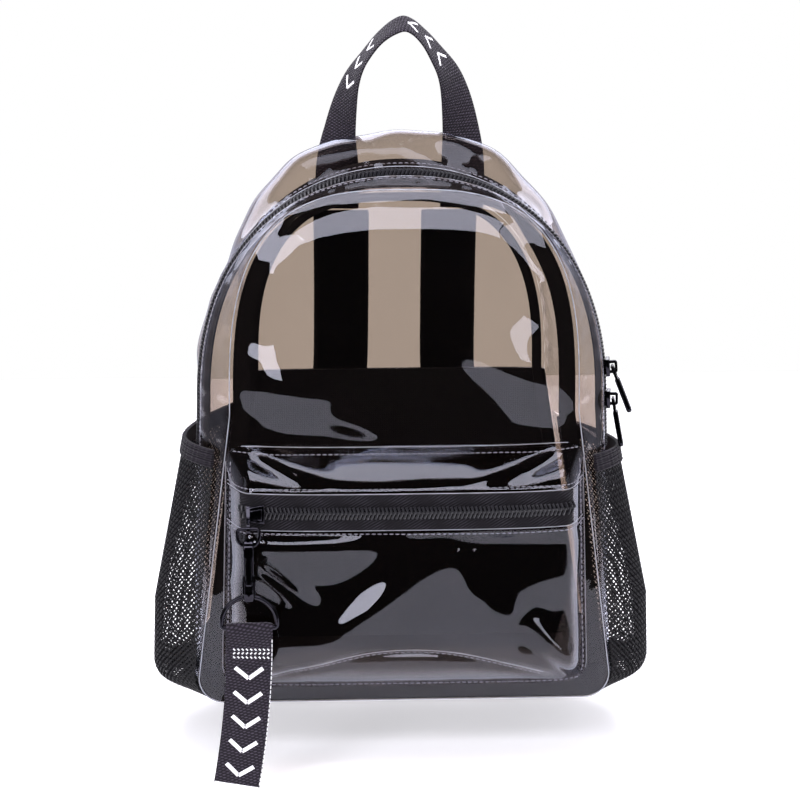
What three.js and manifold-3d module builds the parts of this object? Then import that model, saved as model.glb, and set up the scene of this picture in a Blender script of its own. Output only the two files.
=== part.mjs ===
// Clear-panel backpack: smoked film panels sewn to a domed gusset, with a zipped front pocket,
// mesh side pockets, a grab handle, shoulder straps and a webbing fob on the pocket's zip.
// Millimetres, +Z up, the front faces -Y. Heights are counted from the base while the pieces are
// made, and the whole is then moved so that the handle's crest, where it hangs, is the origin.

import * as THREE from "three";
import { mergeVertices } from "three/addons/utils/BufferGeometryUtils.js";
import Module from "manifold-3d";

const wasm = await Module();
wasm.setup();

// Driving sizes of the body
const WALL = 1;
const FRONT_Y = -54;
const BACK_Y = 58;
const SEAM_GAP = 0.3;
const SHOULDER_Z = 165;
const CORNER_RADIUS = 14;
const ZIP_END_Z = 138;
const BLACK_PANEL_TOP_Z = 163;
const FRONT_BULGE = 9;
const BACK_BULGE = 3;
const BLACK_PANEL_THICK = 3;

// Outline of the body at four depths: crown height, half width at the shoulder and at the base,
// and the power of the arch between shoulder and crown (2 is an ellipse, more is squarer).
const SECTIONS = [
  { y: FRONT_Y, top: 288.5, shoulder: 95.5, base: 114.5, power: 3.0 },
  { y: -26, top: 293, shoulder: 112, base: 117, power: 2.2 },
  { y: 18, top: 308.5, shoulder: 102, base: 116, power: 2.45 },
  { y: BACK_Y, top: 269.5, shoulder: 87, base: 110, power: 2.7 },
];

// Main zip, run over the arch in the gusset
const ZIP = {
  y: -26, chainHalf: 3, openHalf: 4.5, tapeHalf: 13, tapeThick: 0.8, tapeUnder: 0.8, chainRise: 1.6,
};
const CHAIN_EDGE = 0.3;
const BINDING = { inset: 0.6, thick: 1.4, clear: 0.8, fromZ: 20, topShare: 0.3, sideShare: 0.62 };

// Front pocket, a puffed film box sewn on the front panel
const POCKET = {
  top: 148.5, bottom: 11, halfZip: 97.5, halfBase: 101, cornerTop: 10, cornerBase: 12,
  depth: 24, topRun: 22, sideRun: 13, bottomRun: 26, wall: 1.2, clear: 0.6,
  zipTop: 128, zipBottom: 109, zipHalf: 89, chainHalf: 3.2, chainRise: 1.8,
};

// Mesh side pockets
const MESH = {
  front: -49, back: 53, bottom: 4, hemTall: 10,
  depth: 21, edgeRun: 34, bottomRun: 11, neckShare: 0.27, neckFrom: 50, wall: 1, hemWall: 2, clear: 0.5,
};

// Webbing and straps
const WEBBING = { width: 25, thick: 1.5 };
const STRAP = { padWidth: 32, padThick: 6, webThick: 1.5, endShare: 0.35, endRuns: 8, edgeShare: 0.55 };
const HANDLE = { x: 2.5, lean: 2.5, footZ: 258, crestZ: 364 };

// Snap hook fob on the pocket's zip, and the pulls of the main zip
const SLIDER_X = -82;
const FOB_X = -86;
const FOB_REACH = 9;
const TAG = { length: 88, sweep: 8, thick: 1.2, plyGap: 0.5 };
const PULLS = [
  { name: "upper", z: 183, lift: 17 },
  { name: "lower", z: 165, lift: 10 },
];

const HANG_POINT = new THREE.Vector3(HANDLE.x + HANDLE.lean, 57, HANDLE.crestZ);

// Finishes
const finish = (color, roughness, metalness = 0, opacity = 1) =>
  new THREE.MeshStandardMaterial({ color, roughness, metalness, opacity, transparent: opacity < 1 });
const SMOKED_FILM = finish(0x9c8b80, 0.08, 0, 0.45);
const BLACK_CLOTH = finish(0x17161a, 0.8);
const BLACK_MESH = finish(0x1d1c20, 0.85);
const BLACK_WEBBING = finish(0x222026, 0.75);
const BLACK_ZIP = finish(0x141416, 0.6);
const BLACK_PLASTIC = finish(0x18181b, 0.5);
const BLACK_METAL = finish(0x1b1b1f, 0.3, 0.8);

// Geometry helpers

const clamp01 = (value) => Math.min(Math.max(value, 0), 1);
const ease = (value) => Math.sin((clamp01(value) * Math.PI) / 2);
const mix = (a, b, share) => a + (b - a) * share;
const spread = (from, to, count) => Array.from({ length: count + 1 }, (_, i) => mix(from, to, i / count));

// The body's outline at a depth, by a cubic through the four sections.
function sectionAt(y) {
  const weights = SECTIONS.map((row) =>
    SECTIONS.reduce((w, other) => (other === row ? w : (w * (y - other.y)) / (row.y - other.y)), 1),
  );
  const column = (name) => SECTIONS.reduce((sum, row, i) => sum + weights[i] * row[name], 0);
  return { top: column("top"), shoulder: column("shoulder"), base: column("base"), power: column("power") };
}

function halfWidthAt(y, z) {
  const section = sectionAt(y);
  if (z >= SHOULDER_Z) {
    const rise = clamp01((z - SHOULDER_Z) / (section.top - SHOULDER_Z));
    return section.shoulder * Math.pow(1 - Math.pow(rise, section.power), 1 / section.power);
  }
  const sideShare = (SHOULDER_Z - z) / (SHOULDER_Z - CORNER_RADIUS);
  if (z >= CORNER_RADIUS) return mix(section.shoulder, section.base, sideShare);
  const drop = CORNER_RADIUS - z;
  return section.base - CORNER_RADIUS + Math.sqrt(Math.max(CORNER_RADIUS ** 2 - drop ** 2, 0));
}

// A point of the outline over the arch: share runs from -1 at the left foot, over 0 at the crown,
// to 1 at the right foot, with the straight sides below the shoulder taking the ends.
const ARCH_SHARE = 0.86;
function archPoint(y, share, footZ) {
  const section = sectionAt(y);
  const side = Math.sign(share);
  const away = Math.abs(share);
  if (away <= ARCH_SHARE) {
    const angle = ((away / ARCH_SHARE) * Math.PI) / 2;
    const x = section.shoulder * Math.pow(Math.sin(angle), 2 / section.power);
    const rise = Math.pow(Math.max(Math.cos(angle), 0), 2 / section.power);
    return new THREE.Vector3(side * x, y, mix(SHOULDER_Z, section.top, rise));
  }
  const z = mix(SHOULDER_Z, footZ, (away - ARCH_SHARE) / (1 - ARCH_SHARE));
  return new THREE.Vector3(side * halfWidthAt(y, z), y, z);
}

// The outward direction of the outline there, kept in the plane of the section.
function archNormal(y, share, footZ) {
  const step = 0.01;
  const before = archPoint(y, Math.max(share - step, -1), footZ);
  const after = archPoint(y, Math.min(share + step, 1), footZ);
  const along = after.sub(before).normalize();
  return new THREE.Vector3(-along.z, 0, along.x);
}

function closedGeometry(points, triangles) {
  const position = new Float32Array(points.flatMap((p) => [p.x, p.y, p.z]));
  let volume = 0;
  for (let i = 0; i < triangles.length; i += 3) {
    const [a, b, c] = [points[triangles[i]], points[triangles[i + 1]], points[triangles[i + 2]]];
    volume += a.dot(b.clone().cross(c));
  }
  if (volume < 0) triangles.reverse();
  const geometry = new THREE.BufferGeometry();
  geometry.setAttribute("position", new THREE.BufferAttribute(position, 3));
  geometry.setIndex(triangles);
  return geometry;
}

// A sheet with thickness: a lattice of surface points, each pushed along its own direction to an
// outer and an inner face, with the four borders closed.
function sheet(rows, cols, pointAt, outerAt, innerAt) {
  const faces = [[], []];
  for (let row = 0; row <= rows; row++)
    for (let col = 0; col <= cols; col++) {
      const { at, out } = pointAt(row, col);
      faces[0].push(at.clone().addScaledVector(out, outerAt(row, col)));
      faces[1].push(at.clone().addScaledVector(out, innerAt(row, col)));
    }
  const count = faces[0].length;
  const id = (row, col, face) => face * count + row * (cols + 1) + col;
  const triangles = [];
  const quad = (a, b, c, d) => triangles.push(a, b, c, a, c, d);
  for (let row = 0; row < rows; row++)
    for (let col = 0; col < cols; col++) {
      quad(id(row, col, 0), id(row + 1, col, 0), id(row + 1, col + 1, 0), id(row, col + 1, 0));
      quad(id(row, col, 1), id(row, col + 1, 1), id(row + 1, col + 1, 1), id(row + 1, col, 1));
    }
  for (let row = 0; row < rows; row++) {
    quad(id(row, 0, 0), id(row, 0, 1), id(row + 1, 0, 1), id(row + 1, 0, 0));
    quad(id(row, cols, 0), id(row + 1, cols, 0), id(row + 1, cols, 1), id(row, cols, 1));
  }
  for (let col = 0; col < cols; col++) {
    quad(id(0, col, 0), id(0, col + 1, 0), id(0, col + 1, 1), id(0, col, 1));
    quad(id(rows, col, 0), id(rows, col, 1), id(rows, col + 1, 1), id(rows, col + 1, 0));
  }
  return closedGeometry([...faces[0], ...faces[1]], triangles);
}

// A sheet over lists of two parameters, pushed along the surface's own normal.
function surfaceSheet(us, vs, surface, outer, inner) {
  const lattice = us.map((u) => vs.map((v) => surface(u, v)));
  const normalAt = (row, col) => {
    const acrossRows = lattice[Math.min(row + 1, us.length - 1)][col]
      .clone()
      .sub(lattice[Math.max(row - 1, 0)][col]);
    const acrossCols = lattice[row][Math.min(col + 1, vs.length - 1)]
      .clone()
      .sub(lattice[row][Math.max(col - 1, 0)]);
    return acrossRows.cross(acrossCols).normalize();
  };
  const pointAt = (row, col) => ({ at: lattice[row][col], out: normalAt(row, col) });
  return sheet(us.length - 1, vs.length - 1, pointAt, outer, inner);
}

// A closed tube of even radius round a flat loop of points.
function loopTube(points, radius, sides, planeNormal) {
  const rings = points.map((at, i) => {
    const along = points[(i + 1) % points.length].clone().sub(points.at(i - 1)).normalize();
    const across = along.clone().cross(planeNormal).normalize();
    return spread(0, 2 * Math.PI, sides)
      .slice(0, sides)
      .map((turn) =>
        at
          .clone()
          .addScaledVector(across, radius * Math.cos(turn))
          .addScaledVector(planeNormal, radius * Math.sin(turn)),
      );
  });
  const triangles = [];
  rings.forEach((_, i) => {
    const next = (i + 1) % rings.length;
    for (let k = 0; k < sides; k++) {
      const k2 = (k + 1) % sides;
      const [a, b, c, d] = [i * sides + k, next * sides + k, next * sides + k2, i * sides + k2];
      triangles.push(a, b, c, a, c, d);
    }
  });
  return closedGeometry(rings.flat(), triangles);
}

const block = (x0, x1, y0, y1, z0, z1) =>
  new THREE.BoxGeometry(x1 - x0, y1 - y0, z1 - z0).translate((x0 + x1) / 2, (y0 + y1) / 2, (z0 + z1) / 2);

// A rod along X, or along Z when upright is set.
function rod(radius, from, to, at, upright = false, sides = 16) {
  const geometry = new THREE.CylinderGeometry(radius, radius, to - from, sides);
  if (upright) return geometry.rotateX(Math.PI / 2).translate(at[0], at[1], (from + to) / 2);
  return geometry.rotateZ(Math.PI / 2).translate((from + to) / 2, at[0], at[1]);
}

// A flat shape extruded along X, drawn with its own x as Y and its own y as Z.
function plateAlongX(shape, halfWidth, curveSegments = 10) {
  const settings = { depth: 2 * halfWidth, bevelEnabled: false, curveSegments };
  const geometry = new THREE.ExtrudeGeometry(shape, settings);
  return geometry.translate(0, 0, -halfWidth).rotateY(Math.PI / 2).rotateX(Math.PI / 2);
}

function solidOf(geometry) {
  const bare = geometry.clone();
  bare.deleteAttribute("normal");
  bare.deleteAttribute("uv");
  const merged = mergeVertices(bare, 1e-4);
  return new wasm.Manifold(
    new wasm.Mesh({
      numProp: 3,
      vertProperties: new Float32Array(merged.attributes.position.array),
      triVerts: new Uint32Array(merged.index.array),
    }),
  );
}

function geometryOf(solid) {
  const mesh = solid.getMesh();
  const geometry = new THREE.BufferGeometry();
  geometry.setAttribute("position", new THREE.BufferAttribute(new Float32Array(mesh.vertProperties), 3));
  geometry.setIndex(new THREE.BufferAttribute(new Uint32Array(mesh.triVerts), 1));
  return geometry;
}

const joined = (first, ...others) =>
  geometryOf(others.reduce((sum, geometry) => sum.add(solidOf(geometry)), solidOf(first)));
const cutFrom = (first, ...others) =>
  geometryOf(others.reduce((sum, geometry) => sum.subtract(solidOf(geometry)), solidOf(first)));

const bag = new THREE.Group();
bag.position.copy(HANG_POINT).negate();

function piece(name, geometry, material, parent = bag) {
  const mesh = new THREE.Mesh(geometry, material);
  mesh.name = name;
  parent.add(mesh);
  return mesh;
}

// Panels of the body

const panelHeight = (y) => sectionAt(y).top;
const panelRows = (y, from, to, count) =>
  spread(from, to, count).map((share) => share * share * (3 - 2 * share) * panelHeight(y) * 0.999);

// How far a panel swells between its edges, as a share.
function swell(y, x, z) {
  const across = clamp01(Math.abs(x) / Math.max(halfWidthAt(y, z), 1));
  const up = Math.abs(z / panelHeight(y) - 0.5) * 2;
  return (1 - across ** 4) * (1 - clamp01(up) ** 6);
}

const frontFace = (x, z) => FRONT_Y - WALL - FRONT_BULGE * swell(FRONT_Y, x, z);
const backFace = (x, z) => BACK_Y + WALL + BACK_BULGE * swell(BACK_Y, x, z);

// A panel whose rows run across it, each as wide as the outline at its height.
function panel(y, heights, cols, faceY, facing, thick) {
  const pointAt = (row, col) => {
    const z = heights[row];
    const half = halfWidthAt(y, z);
    const x = mix(-half, half, col / cols);
    return { at: new THREE.Vector3(x, faceY(x, z), z), out: new THREE.Vector3(0, facing, 0) };
  };
  return sheet(heights.length - 1, cols, pointAt, () => thick - WALL, () => -WALL);
}

piece("front_panel", panel(FRONT_Y, panelRows(FRONT_Y, 0, 1, 16), 10, frontFace, -1, WALL), SMOKED_FILM);

const backRows = panelRows(BACK_Y, 0, 1, 14);
const lowerRows = [...backRows.filter((z) => z < BLACK_PANEL_TOP_Z - 4), BLACK_PANEL_TOP_Z];
const upperRows = [BLACK_PANEL_TOP_Z + SEAM_GAP, ...backRows.filter((z) => z > BLACK_PANEL_TOP_Z + 4)];
piece("back_panel_upper", panel(BACK_Y, upperRows, 8, backFace, 1, WALL), SMOKED_FILM);
piece("back_panel_lower", panel(BACK_Y, lowerRows, 8, backFace, 1, BLACK_PANEL_THICK), BLACK_CLOTH);

// Gusset strips either side of the zip, over the arch from foot to foot

const archShares = [-1, ...spread(-ARCH_SHARE, ARCH_SHARE, 24), 1];

function archStrip(depths, outer, inner, footZ = ZIP_END_Z) {
  const pointAt = (row, col) => ({
    at: archPoint(depths[col], archShares[row], footZ),
    out: archNormal(depths[col], archShares[row], footZ),
  });
  return sheet(archShares.length - 1, depths.length - 1, pointAt, outer, inner);
}

const gussetFront = FRONT_Y + SEAM_GAP;
const gussetBack = BACK_Y - SEAM_GAP;
const frontStrip = spread(gussetFront, ZIP.y - ZIP.openHalf, 2);
const backStrip = spread(ZIP.y + ZIP.openHalf, gussetBack, 6);
piece("gusset_front", archStrip(frontStrip, () => WALL, () => 0), SMOKED_FILM);
piece("gusset_back", archStrip(backStrip, () => WALL, () => 0), SMOKED_FILM);

// Zip tape under the strips' edges, with the chain standing up in the gap between them.
const tapeReach = [ZIP.chainHalf, ZIP.chainHalf + CHAIN_EDGE, ZIP.tapeHalf];
const tapeDepths = [...tapeReach.map((reach) => -reach).reverse(), ...tapeReach];
const tapeTop = -ZIP.tapeUnder;
const onChain = (col) => col === 2 || col === 3;
piece(
  "main_zip",
  archStrip(
    tapeDepths.map((away) => ZIP.y + away),
    (_, col) => (onChain(col) ? ZIP.chainRise : tapeTop),
    () => tapeTop - ZIP.tapeThick,
  ),
  BLACK_ZIP,
);

// Black tape that binds the seam allowance inside the front and back seams. It narrows over the top,
// and there the front one also lies back under the gusset.
function binding(seamY, inward, sideWidth, topWidth, topTurn) {
  const pointAt = (row, col) => {
    const at = archPoint(seamY, archShares[row], BINDING.fromZ);
    const out = archNormal(seamY, archShares[row], BINDING.fromZ);
    const run = (Math.abs(archShares[row]) - BINDING.topShare) / (BINDING.sideShare - BINDING.topShare);
    const lowered = ease(run);
    const turn = THREE.MathUtils.degToRad(mix(topTurn, 0, lowered));
    const wide = mix(topWidth, sideWidth, lowered);
    const deep = new THREE.Vector3(0, inward, 0);
    const across = out.clone().multiplyScalar(-Math.cos(turn)).addScaledVector(deep, Math.sin(turn));
    const thick = deep.clone().multiplyScalar(Math.cos(turn)).addScaledVector(out, Math.sin(turn));
    at.addScaledVector(out, -BINDING.inset - BINDING.thick * Math.sin(turn));
    at.addScaledVector(across, col * wide).addScaledVector(deep, BINDING.clear);
    return { at, out: thick };
  };
  return sheet(archShares.length - 1, 1, pointAt, () => BINDING.thick, () => 0);
}

piece("front_binding", binding(FRONT_Y, 1, 9, 8, 70), BLACK_CLOTH);
piece("back_binding", binding(BACK_Y, -1, 5.5, 4.5, 0), BLACK_CLOTH);

// Lower sides and base

const bodyDepths = spread(gussetFront, gussetBack, 6);

function sidePanel(side) {
  const heights = spread(CORNER_RADIUS + SEAM_GAP, ZIP_END_Z - SEAM_GAP, 4);
  const pointAt = (row, col) => ({
    at: new THREE.Vector3(side * halfWidthAt(bodyDepths[col], heights[row]), bodyDepths[col], heights[row]),
    out: new THREE.Vector3(side, 0, 0),
  });
  return sheet(heights.length - 1, bodyDepths.length - 1, pointAt, () => WALL, () => 0);
}

piece("side_panel_left", sidePanel(-1), SMOKED_FILM);
piece("side_panel_right", sidePanel(1), SMOKED_FILM);

// The base is flat and turns up in a round corner at each side.
function basePanel() {
  const turns = [-90, -60, -30, 0];
  const flat = [-0.5, 0, 0.5];
  const stations = [
    ...turns.map((turn) => ({ side: -1, turn: -turn - 90 })),
    ...flat.map((share) => ({ share })),
    ...turns.map((turn) => ({ side: 1, turn })),
  ];
  const pointAt = (row, col) => {
    const y = bodyDepths[col];
    const middle = sectionAt(y).base - CORNER_RADIUS;
    const { side, turn, share } = stations[row];
    if (share !== undefined)
      return { at: new THREE.Vector3(share * 2 * middle, y, WALL), out: new THREE.Vector3(0, 0, -1) };
    const angle = THREE.MathUtils.degToRad(turn);
    const out = new THREE.Vector3(side * Math.cos(angle), 0, Math.sin(angle));
    const centre = new THREE.Vector3(side * middle, y, CORNER_RADIUS);
    return { at: centre.addScaledVector(out, CORNER_RADIUS - WALL), out };
  };
  return sheet(stations.length - 1, bodyDepths.length - 1, pointAt, () => WALL, () => 0);
}

piece("base_panel", basePanel(), BLACK_CLOTH);

// Front pocket

function pocketHalf(z) {
  const up = clamp01((z - POCKET.bottom) / (POCKET.zipTop - POCKET.bottom));
  const half = mix(POCKET.halfBase, POCKET.halfZip, up);
  const lift = Math.max(z - (POCKET.top - POCKET.cornerTop), 0);
  const drop = Math.max(POCKET.bottom + POCKET.cornerBase - z, 0);
  const topCut = POCKET.cornerTop - Math.sqrt(Math.max(POCKET.cornerTop ** 2 - lift ** 2, 0));
  const baseCut = POCKET.cornerBase - Math.sqrt(Math.max(POCKET.cornerBase ** 2 - drop ** 2, 0));
  return half - topCut - baseCut;
}

function pocketFace(across, z) {
  const half = pocketHalf(z);
  const x = across * half;
  const rise =
    ease((POCKET.top - z) / POCKET.topRun) *
    ease((z - POCKET.bottom) / POCKET.bottomRun) *
    ease((half - Math.abs(x)) / POCKET.sideRun);
  return new THREE.Vector3(x, frontFace(x, z) - POCKET.clear - POCKET.depth * rise, z);
}

const edgeRuns = [0.03, 0.07, 0.13].map((share) => 1 - share);
const pocketAcross = [-1, ...edgeRuns.map((share) => -share), ...spread(-0.6, 0.6, 4), ...edgeRuns, 1];
pocketAcross.sort((a, b) => a - b);
const pocketSheet = (heights, across = pocketAcross, rise = () => 0) =>
  surfaceSheet(across, heights, pocketFace, (_, col) => POCKET.wall + rise(col), () => 0);

const pocketTopRows = spread(POCKET.zipTop + SEAM_GAP, POCKET.top, 4);
const pocketTurn = POCKET.bottom + POCKET.bottomRun;
const pocketLowRows = [
  ...spread(POCKET.bottom, pocketTurn, 4),
  ...spread(pocketTurn, POCKET.zipBottom - SEAM_GAP, 3).slice(1),
];
piece("pocket_upper", pocketSheet(pocketTopRows), SMOKED_FILM);
piece("pocket_lower", pocketSheet(pocketLowRows), SMOKED_FILM);

const zipMiddle = (POCKET.zipTop + POCKET.zipBottom) / 2;
const chainLow = zipMiddle - POCKET.chainHalf;
const chainHigh = zipMiddle + POCKET.chainHalf;
const tapeRows = [POCKET.zipBottom, chainLow, chainHigh, POCKET.zipTop];
const zipShare = POCKET.zipHalf / POCKET.halfZip;
const endShare = zipShare + SEAM_GAP / POCKET.halfZip;
const endAcross = [endShare, 0.945, 0.97, 1];
piece("pocket_end_left", pocketSheet(tapeRows, endAcross.map((share) => -share).reverse()), SMOKED_FILM);
piece("pocket_end_right", pocketSheet(tapeRows, endAcross), SMOKED_FILM);

const zipColumns = [-1, -0.95, -0.88, -0.6, -0.2, 0.2, 0.6, 0.88, 0.95, 1];
const chainRows = [
  POCKET.zipBottom, chainLow - CHAIN_EDGE, chainLow, chainHigh, chainHigh + CHAIN_EDGE, POCKET.zipTop,
];
const pocketChainRise = (col) => (onChain(col) ? POCKET.chainRise : 0);
const zipAcross = zipColumns.map((share) => share * zipShare);
piece("pocket_zip", pocketSheet(chainRows, zipAcross, pocketChainRise), BLACK_ZIP);

// Mesh side pockets, puffed out from the sides and open at the hem

// Each hem has its own height at the front and its own rise towards the back.
const HEMS = [
  { label: "left", side: -1, top: 144, rise: 2 },
  { label: "right", side: 1, top: 139, rise: -4 },
];
const hemLine = (hem, y) => hem.top + (hem.rise * (y - MESH.front)) / (MESH.back - MESH.front);

function meshFace(hem, y, z) {
  const neck = mix(1, MESH.neckShare, clamp01((z - MESH.neckFrom) / (hemLine(hem, y) - MESH.neckFrom)));
  const rise =
    ease((y - MESH.front) / MESH.edgeRun) *
    ease((MESH.back - y) / MESH.edgeRun) *
    ease((z - MESH.bottom) / MESH.bottomRun) * neck;
  return new THREE.Vector3(hem.side * (halfWidthAt(y, z) + WALL + MESH.clear + MESH.depth * rise), y, z);
}

const meshDepths = [
  ...spread(MESH.front, MESH.front + MESH.edgeRun, 4),
  ...spread(MESH.back - MESH.edgeRun, MESH.back, 4),
];
const meshShares = [0, 0.02, 0.045, 0.085, 0.2, 0.4, 0.6, 0.8, 1];
for (const hem of HEMS) {
  const { label, side } = hem;
  const order = side > 0 ? meshDepths : [...meshDepths].reverse();
  const meshTop = (y) => hemLine(hem, y) - MESH.hemTall - SEAM_GAP;
  const meshAt = (y, share) => meshFace(hem, y, mix(MESH.bottom, meshTop(y), share));
  const hemAt = (y, share) => meshFace(hem, y, hemLine(hem, y) - MESH.hemTall * (1 - share));
  const meshSheet = surfaceSheet(order, meshShares, meshAt, () => MESH.wall, () => 0);
  const hemSheet = surfaceSheet(order, [0, 1], hemAt, () => MESH.hemWall, () => 0);
  piece(`mesh_pocket_${label}`, meshSheet, BLACK_MESH);
  piece(`mesh_hem_${label}`, hemSheet, BLACK_WEBBING);
}

// Ribbons: webbing laid through points, with its width across their route. Both its direction
// across and its thickness may change with the share of the route.
function ribbon(points, width, acrossAt, thickAt, cols) {
  const rows = points.length - 1;
  const pointAt = (row, col) => {
    const along = points[Math.min(row + 1, rows)].clone().sub(points[Math.max(row - 1, 0)]).normalize();
    const flat = acrossAt(row / rows).clone();
    flat.addScaledVector(along, -flat.dot(along)).normalize();
    const at = points[row].clone().addScaledVector(flat, (col / cols - 0.5) * width);
    return { at, out: along.clone().cross(flat).normalize() };
  };
  return sheet(rows, cols, pointAt, (row, col) => thickAt(row / rows, col / cols), () => 0);
}

const smoothRoute = (points, steps) =>
  new THREE.CatmullRomCurve3(points, false, "centripetal").getSpacedPoints(steps);

// Grab handle: flat on the back at its feet, turning to lie almost level at its crest. The right
// leg turns later than the left one, so it stays broader to the front.
const HANDLE_LEFT = [
  { x: -36, y: 62.1, z: HANDLE.footZ, acrossX: -1, acrossY: 0, acrossZ: 0 },
  { x: -36, y: 62.8, z: 278, acrossX: -1, acrossY: 0, acrossZ: 0 },
  { x: -35.2, y: 63, z: 298, acrossX: -0.9, acrossY: 0.43, acrossZ: 0.04 },
  { x: -31, y: 62, z: 323, acrossX: -0.66, acrossY: 0.73, acrossZ: 0.18 },
  { x: -26.7, y: 61, z: 336, acrossX: -0.48, acrossY: 0.85, acrossZ: 0.22 },
  { x: -19.8, y: 60, z: 347.5, acrossX: -0.28, acrossY: 0.94, acrossZ: 0.14 },
  { x: -12.6, y: 58.5, z: 356.5, acrossX: -0.1, acrossY: 0.98, acrossZ: 0.08 },
  { x: -5.5, y: 57.5, z: 362, acrossX: -0.03, acrossY: 0.98, acrossZ: 0.13 },
];
const HANDLE_CREST = { x: 0, y: HANG_POINT.y, z: HANG_POINT.z, acrossX: 0, acrossY: 0.975, acrossZ: 0.22 };
const HANDLE_RIGHT = [
  { x: 4.8, y: 57.5, z: 362, acrossX: 0.12, acrossY: 0.97, acrossZ: 0.2 },
  { x: 10.8, y: 58.5, z: 356.5, acrossX: 0.3, acrossY: 0.93, acrossZ: 0.2 },
  { x: 17.8, y: 60, z: 347.5, acrossX: 0.52, acrossY: 0.82, acrossZ: 0.2 },
  { x: 25.3, y: 61, z: 336, acrossX: 0.7, acrossY: 0.68, acrossZ: 0.2 },
  { x: 30, y: 62, z: 323, acrossX: 0.84, acrossY: 0.52, acrossZ: 0.15 },
  { x: 34.6, y: 63, z: 298, acrossX: 0.97, acrossY: 0.25, acrossZ: 0.04 },
  { x: 36, y: 62.8, z: 278, acrossX: 1, acrossY: 0, acrossZ: 0 },
  { x: 36, y: 62.1, z: HANDLE.footZ, acrossX: 1, acrossY: 0, acrossZ: 0 },
];
const handleRows = [...HANDLE_LEFT, HANDLE_CREST, ...HANDLE_RIGHT];
const handleAcross = new THREE.CatmullRomCurve3(
  handleRows.map((row) => new THREE.Vector3(row.acrossX, row.acrossY, row.acrossZ)),
  false,
  "centripetal",
);
const handleLean = (z) => HANDLE.x + (HANDLE.lean * (z - HANDLE.footZ)) / (HANDLE.crestZ - HANDLE.footZ);
piece(
  "handle",
  ribbon(
    smoothRoute(handleRows.map((row) => new THREE.Vector3(handleLean(row.z) + row.x, row.y, row.z)), 36),
    WEBBING.width,
    (share) => handleAcross.getPoint(share),
    () => WEBBING.thick,
    2,
  ),
  BLACK_WEBBING,
);

// Shoulder straps: a padded upper length, an adjuster, and webbing back to the lower corner.
const STRAP_ROUTE = [
  { x: 31, y: 60.6, z: 257 },
  { x: 31, y: 64, z: 236 },
  { x: 31, y: 70, z: 200 },
  { x: 32, y: 80, z: 152 },
  { x: 38, y: 92, z: 104 },
  { x: 48, y: 100, z: 62 },
];
const WEB_ROUTE = [
  { x: 53, y: 102, z: 42 },
  { x: 58, y: 101, z: 24 },
  { x: 64, y: 94, z: 8 },
  { x: 72, y: 80, z: 2 },
  { x: 79, y: 69, z: 6 },
  { x: 82, y: 64.8, z: 18 },
];
const ADJUSTER = { width: 33, height: 19.4, thick: 4, frame: 3, bar: 3, inset: 1.5 };
const sideways = new THREE.Vector3(1, 0, 0);

function strap(label, side) {
  const route = (rows) => rows.map((row) => new THREE.Vector3(side * row.x, row.y, row.z));
  const across = () => sideways;
  const padThick = (share, col) => {
    const alongPad = mix(STRAP.endShare, 1, ease(share * STRAP.endRuns) * ease((1 - share) * STRAP.endRuns));
    const acrossPad = mix(STRAP.edgeShare, 1, ease(1 - Math.abs(col - 0.5) * 2));
    return STRAP.padThick * alongPad * acrossPad;
  };
  const upward = (rows) => smoothRoute(route(rows).reverse(), 14);
  const pad = ribbon(upward(STRAP_ROUTE), STRAP.padWidth, across, padThick, 4);
  const web = ribbon(upward(WEB_ROUTE), WEBBING.width, across, () => STRAP.webThick, 1);
  piece(`strap_pad_${label}`, pad, BLACK_CLOTH);
  piece(`strap_web_${label}`, web, BLACK_WEBBING);
  const [padEnd, webStart] = [route(STRAP_ROUTE).at(-1), route(WEB_ROUTE)[0]];
  const windows = [-1, 1].map((end) => {
    const middle = (end * (ADJUSTER.height - 2 * ADJUSTER.frame + ADJUSTER.bar)) / 4;
    const half = (ADJUSTER.height - 2 * ADJUSTER.frame - ADJUSTER.bar) / 4;
    const reach = ADJUSTER.width / 2 - ADJUSTER.frame;
    return block(-reach, reach, -ADJUSTER.thick, ADJUSTER.thick, middle - half, middle + half);
  });
  const frame = block(
    -ADJUSTER.width / 2, ADJUSTER.width / 2, -ADJUSTER.thick / 2, ADJUSTER.thick / 2,
    -ADJUSTER.height / 2, ADJUSTER.height / 2,
  );
  const adjuster = piece(`strap_adjuster_${label}`, cutFrom(frame, ...windows), BLACK_PLASTIC);
  const up = padEnd.clone().sub(webStart).normalize();
  const flat = sideways.clone().addScaledVector(up, -up.x).normalize();
  adjuster.quaternion.setFromRotationMatrix(new THREE.Matrix4().makeBasis(flat, up.clone().cross(flat), up));
  adjuster.position.lerpVectors(padEnd, webStart, 0.5).add(new THREE.Vector3(0, ADJUSTER.inset, 0));
}

strap("left", -1);
strap("right", 1);

// Main zip's sliders and pulls, on the right side of the arch.
// In a slider's own frame X runs down the zip, Y across it and Z out of the bag.
const SLIDER = {
  length: 10, width: 8.5, plate: 2.3, lift: 0.3, postHalf: 3.6, post: 1.6, bridge: 6.8, bar: 1.5, barWidth: 2,
};
const PULL = {
  length: 28, width: 5.6, thick: 1.5, window: 5.4, arm: 1.4, pivotZ: 3.9, gripFrom: 7, gripThick: 2.8,
};

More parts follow.
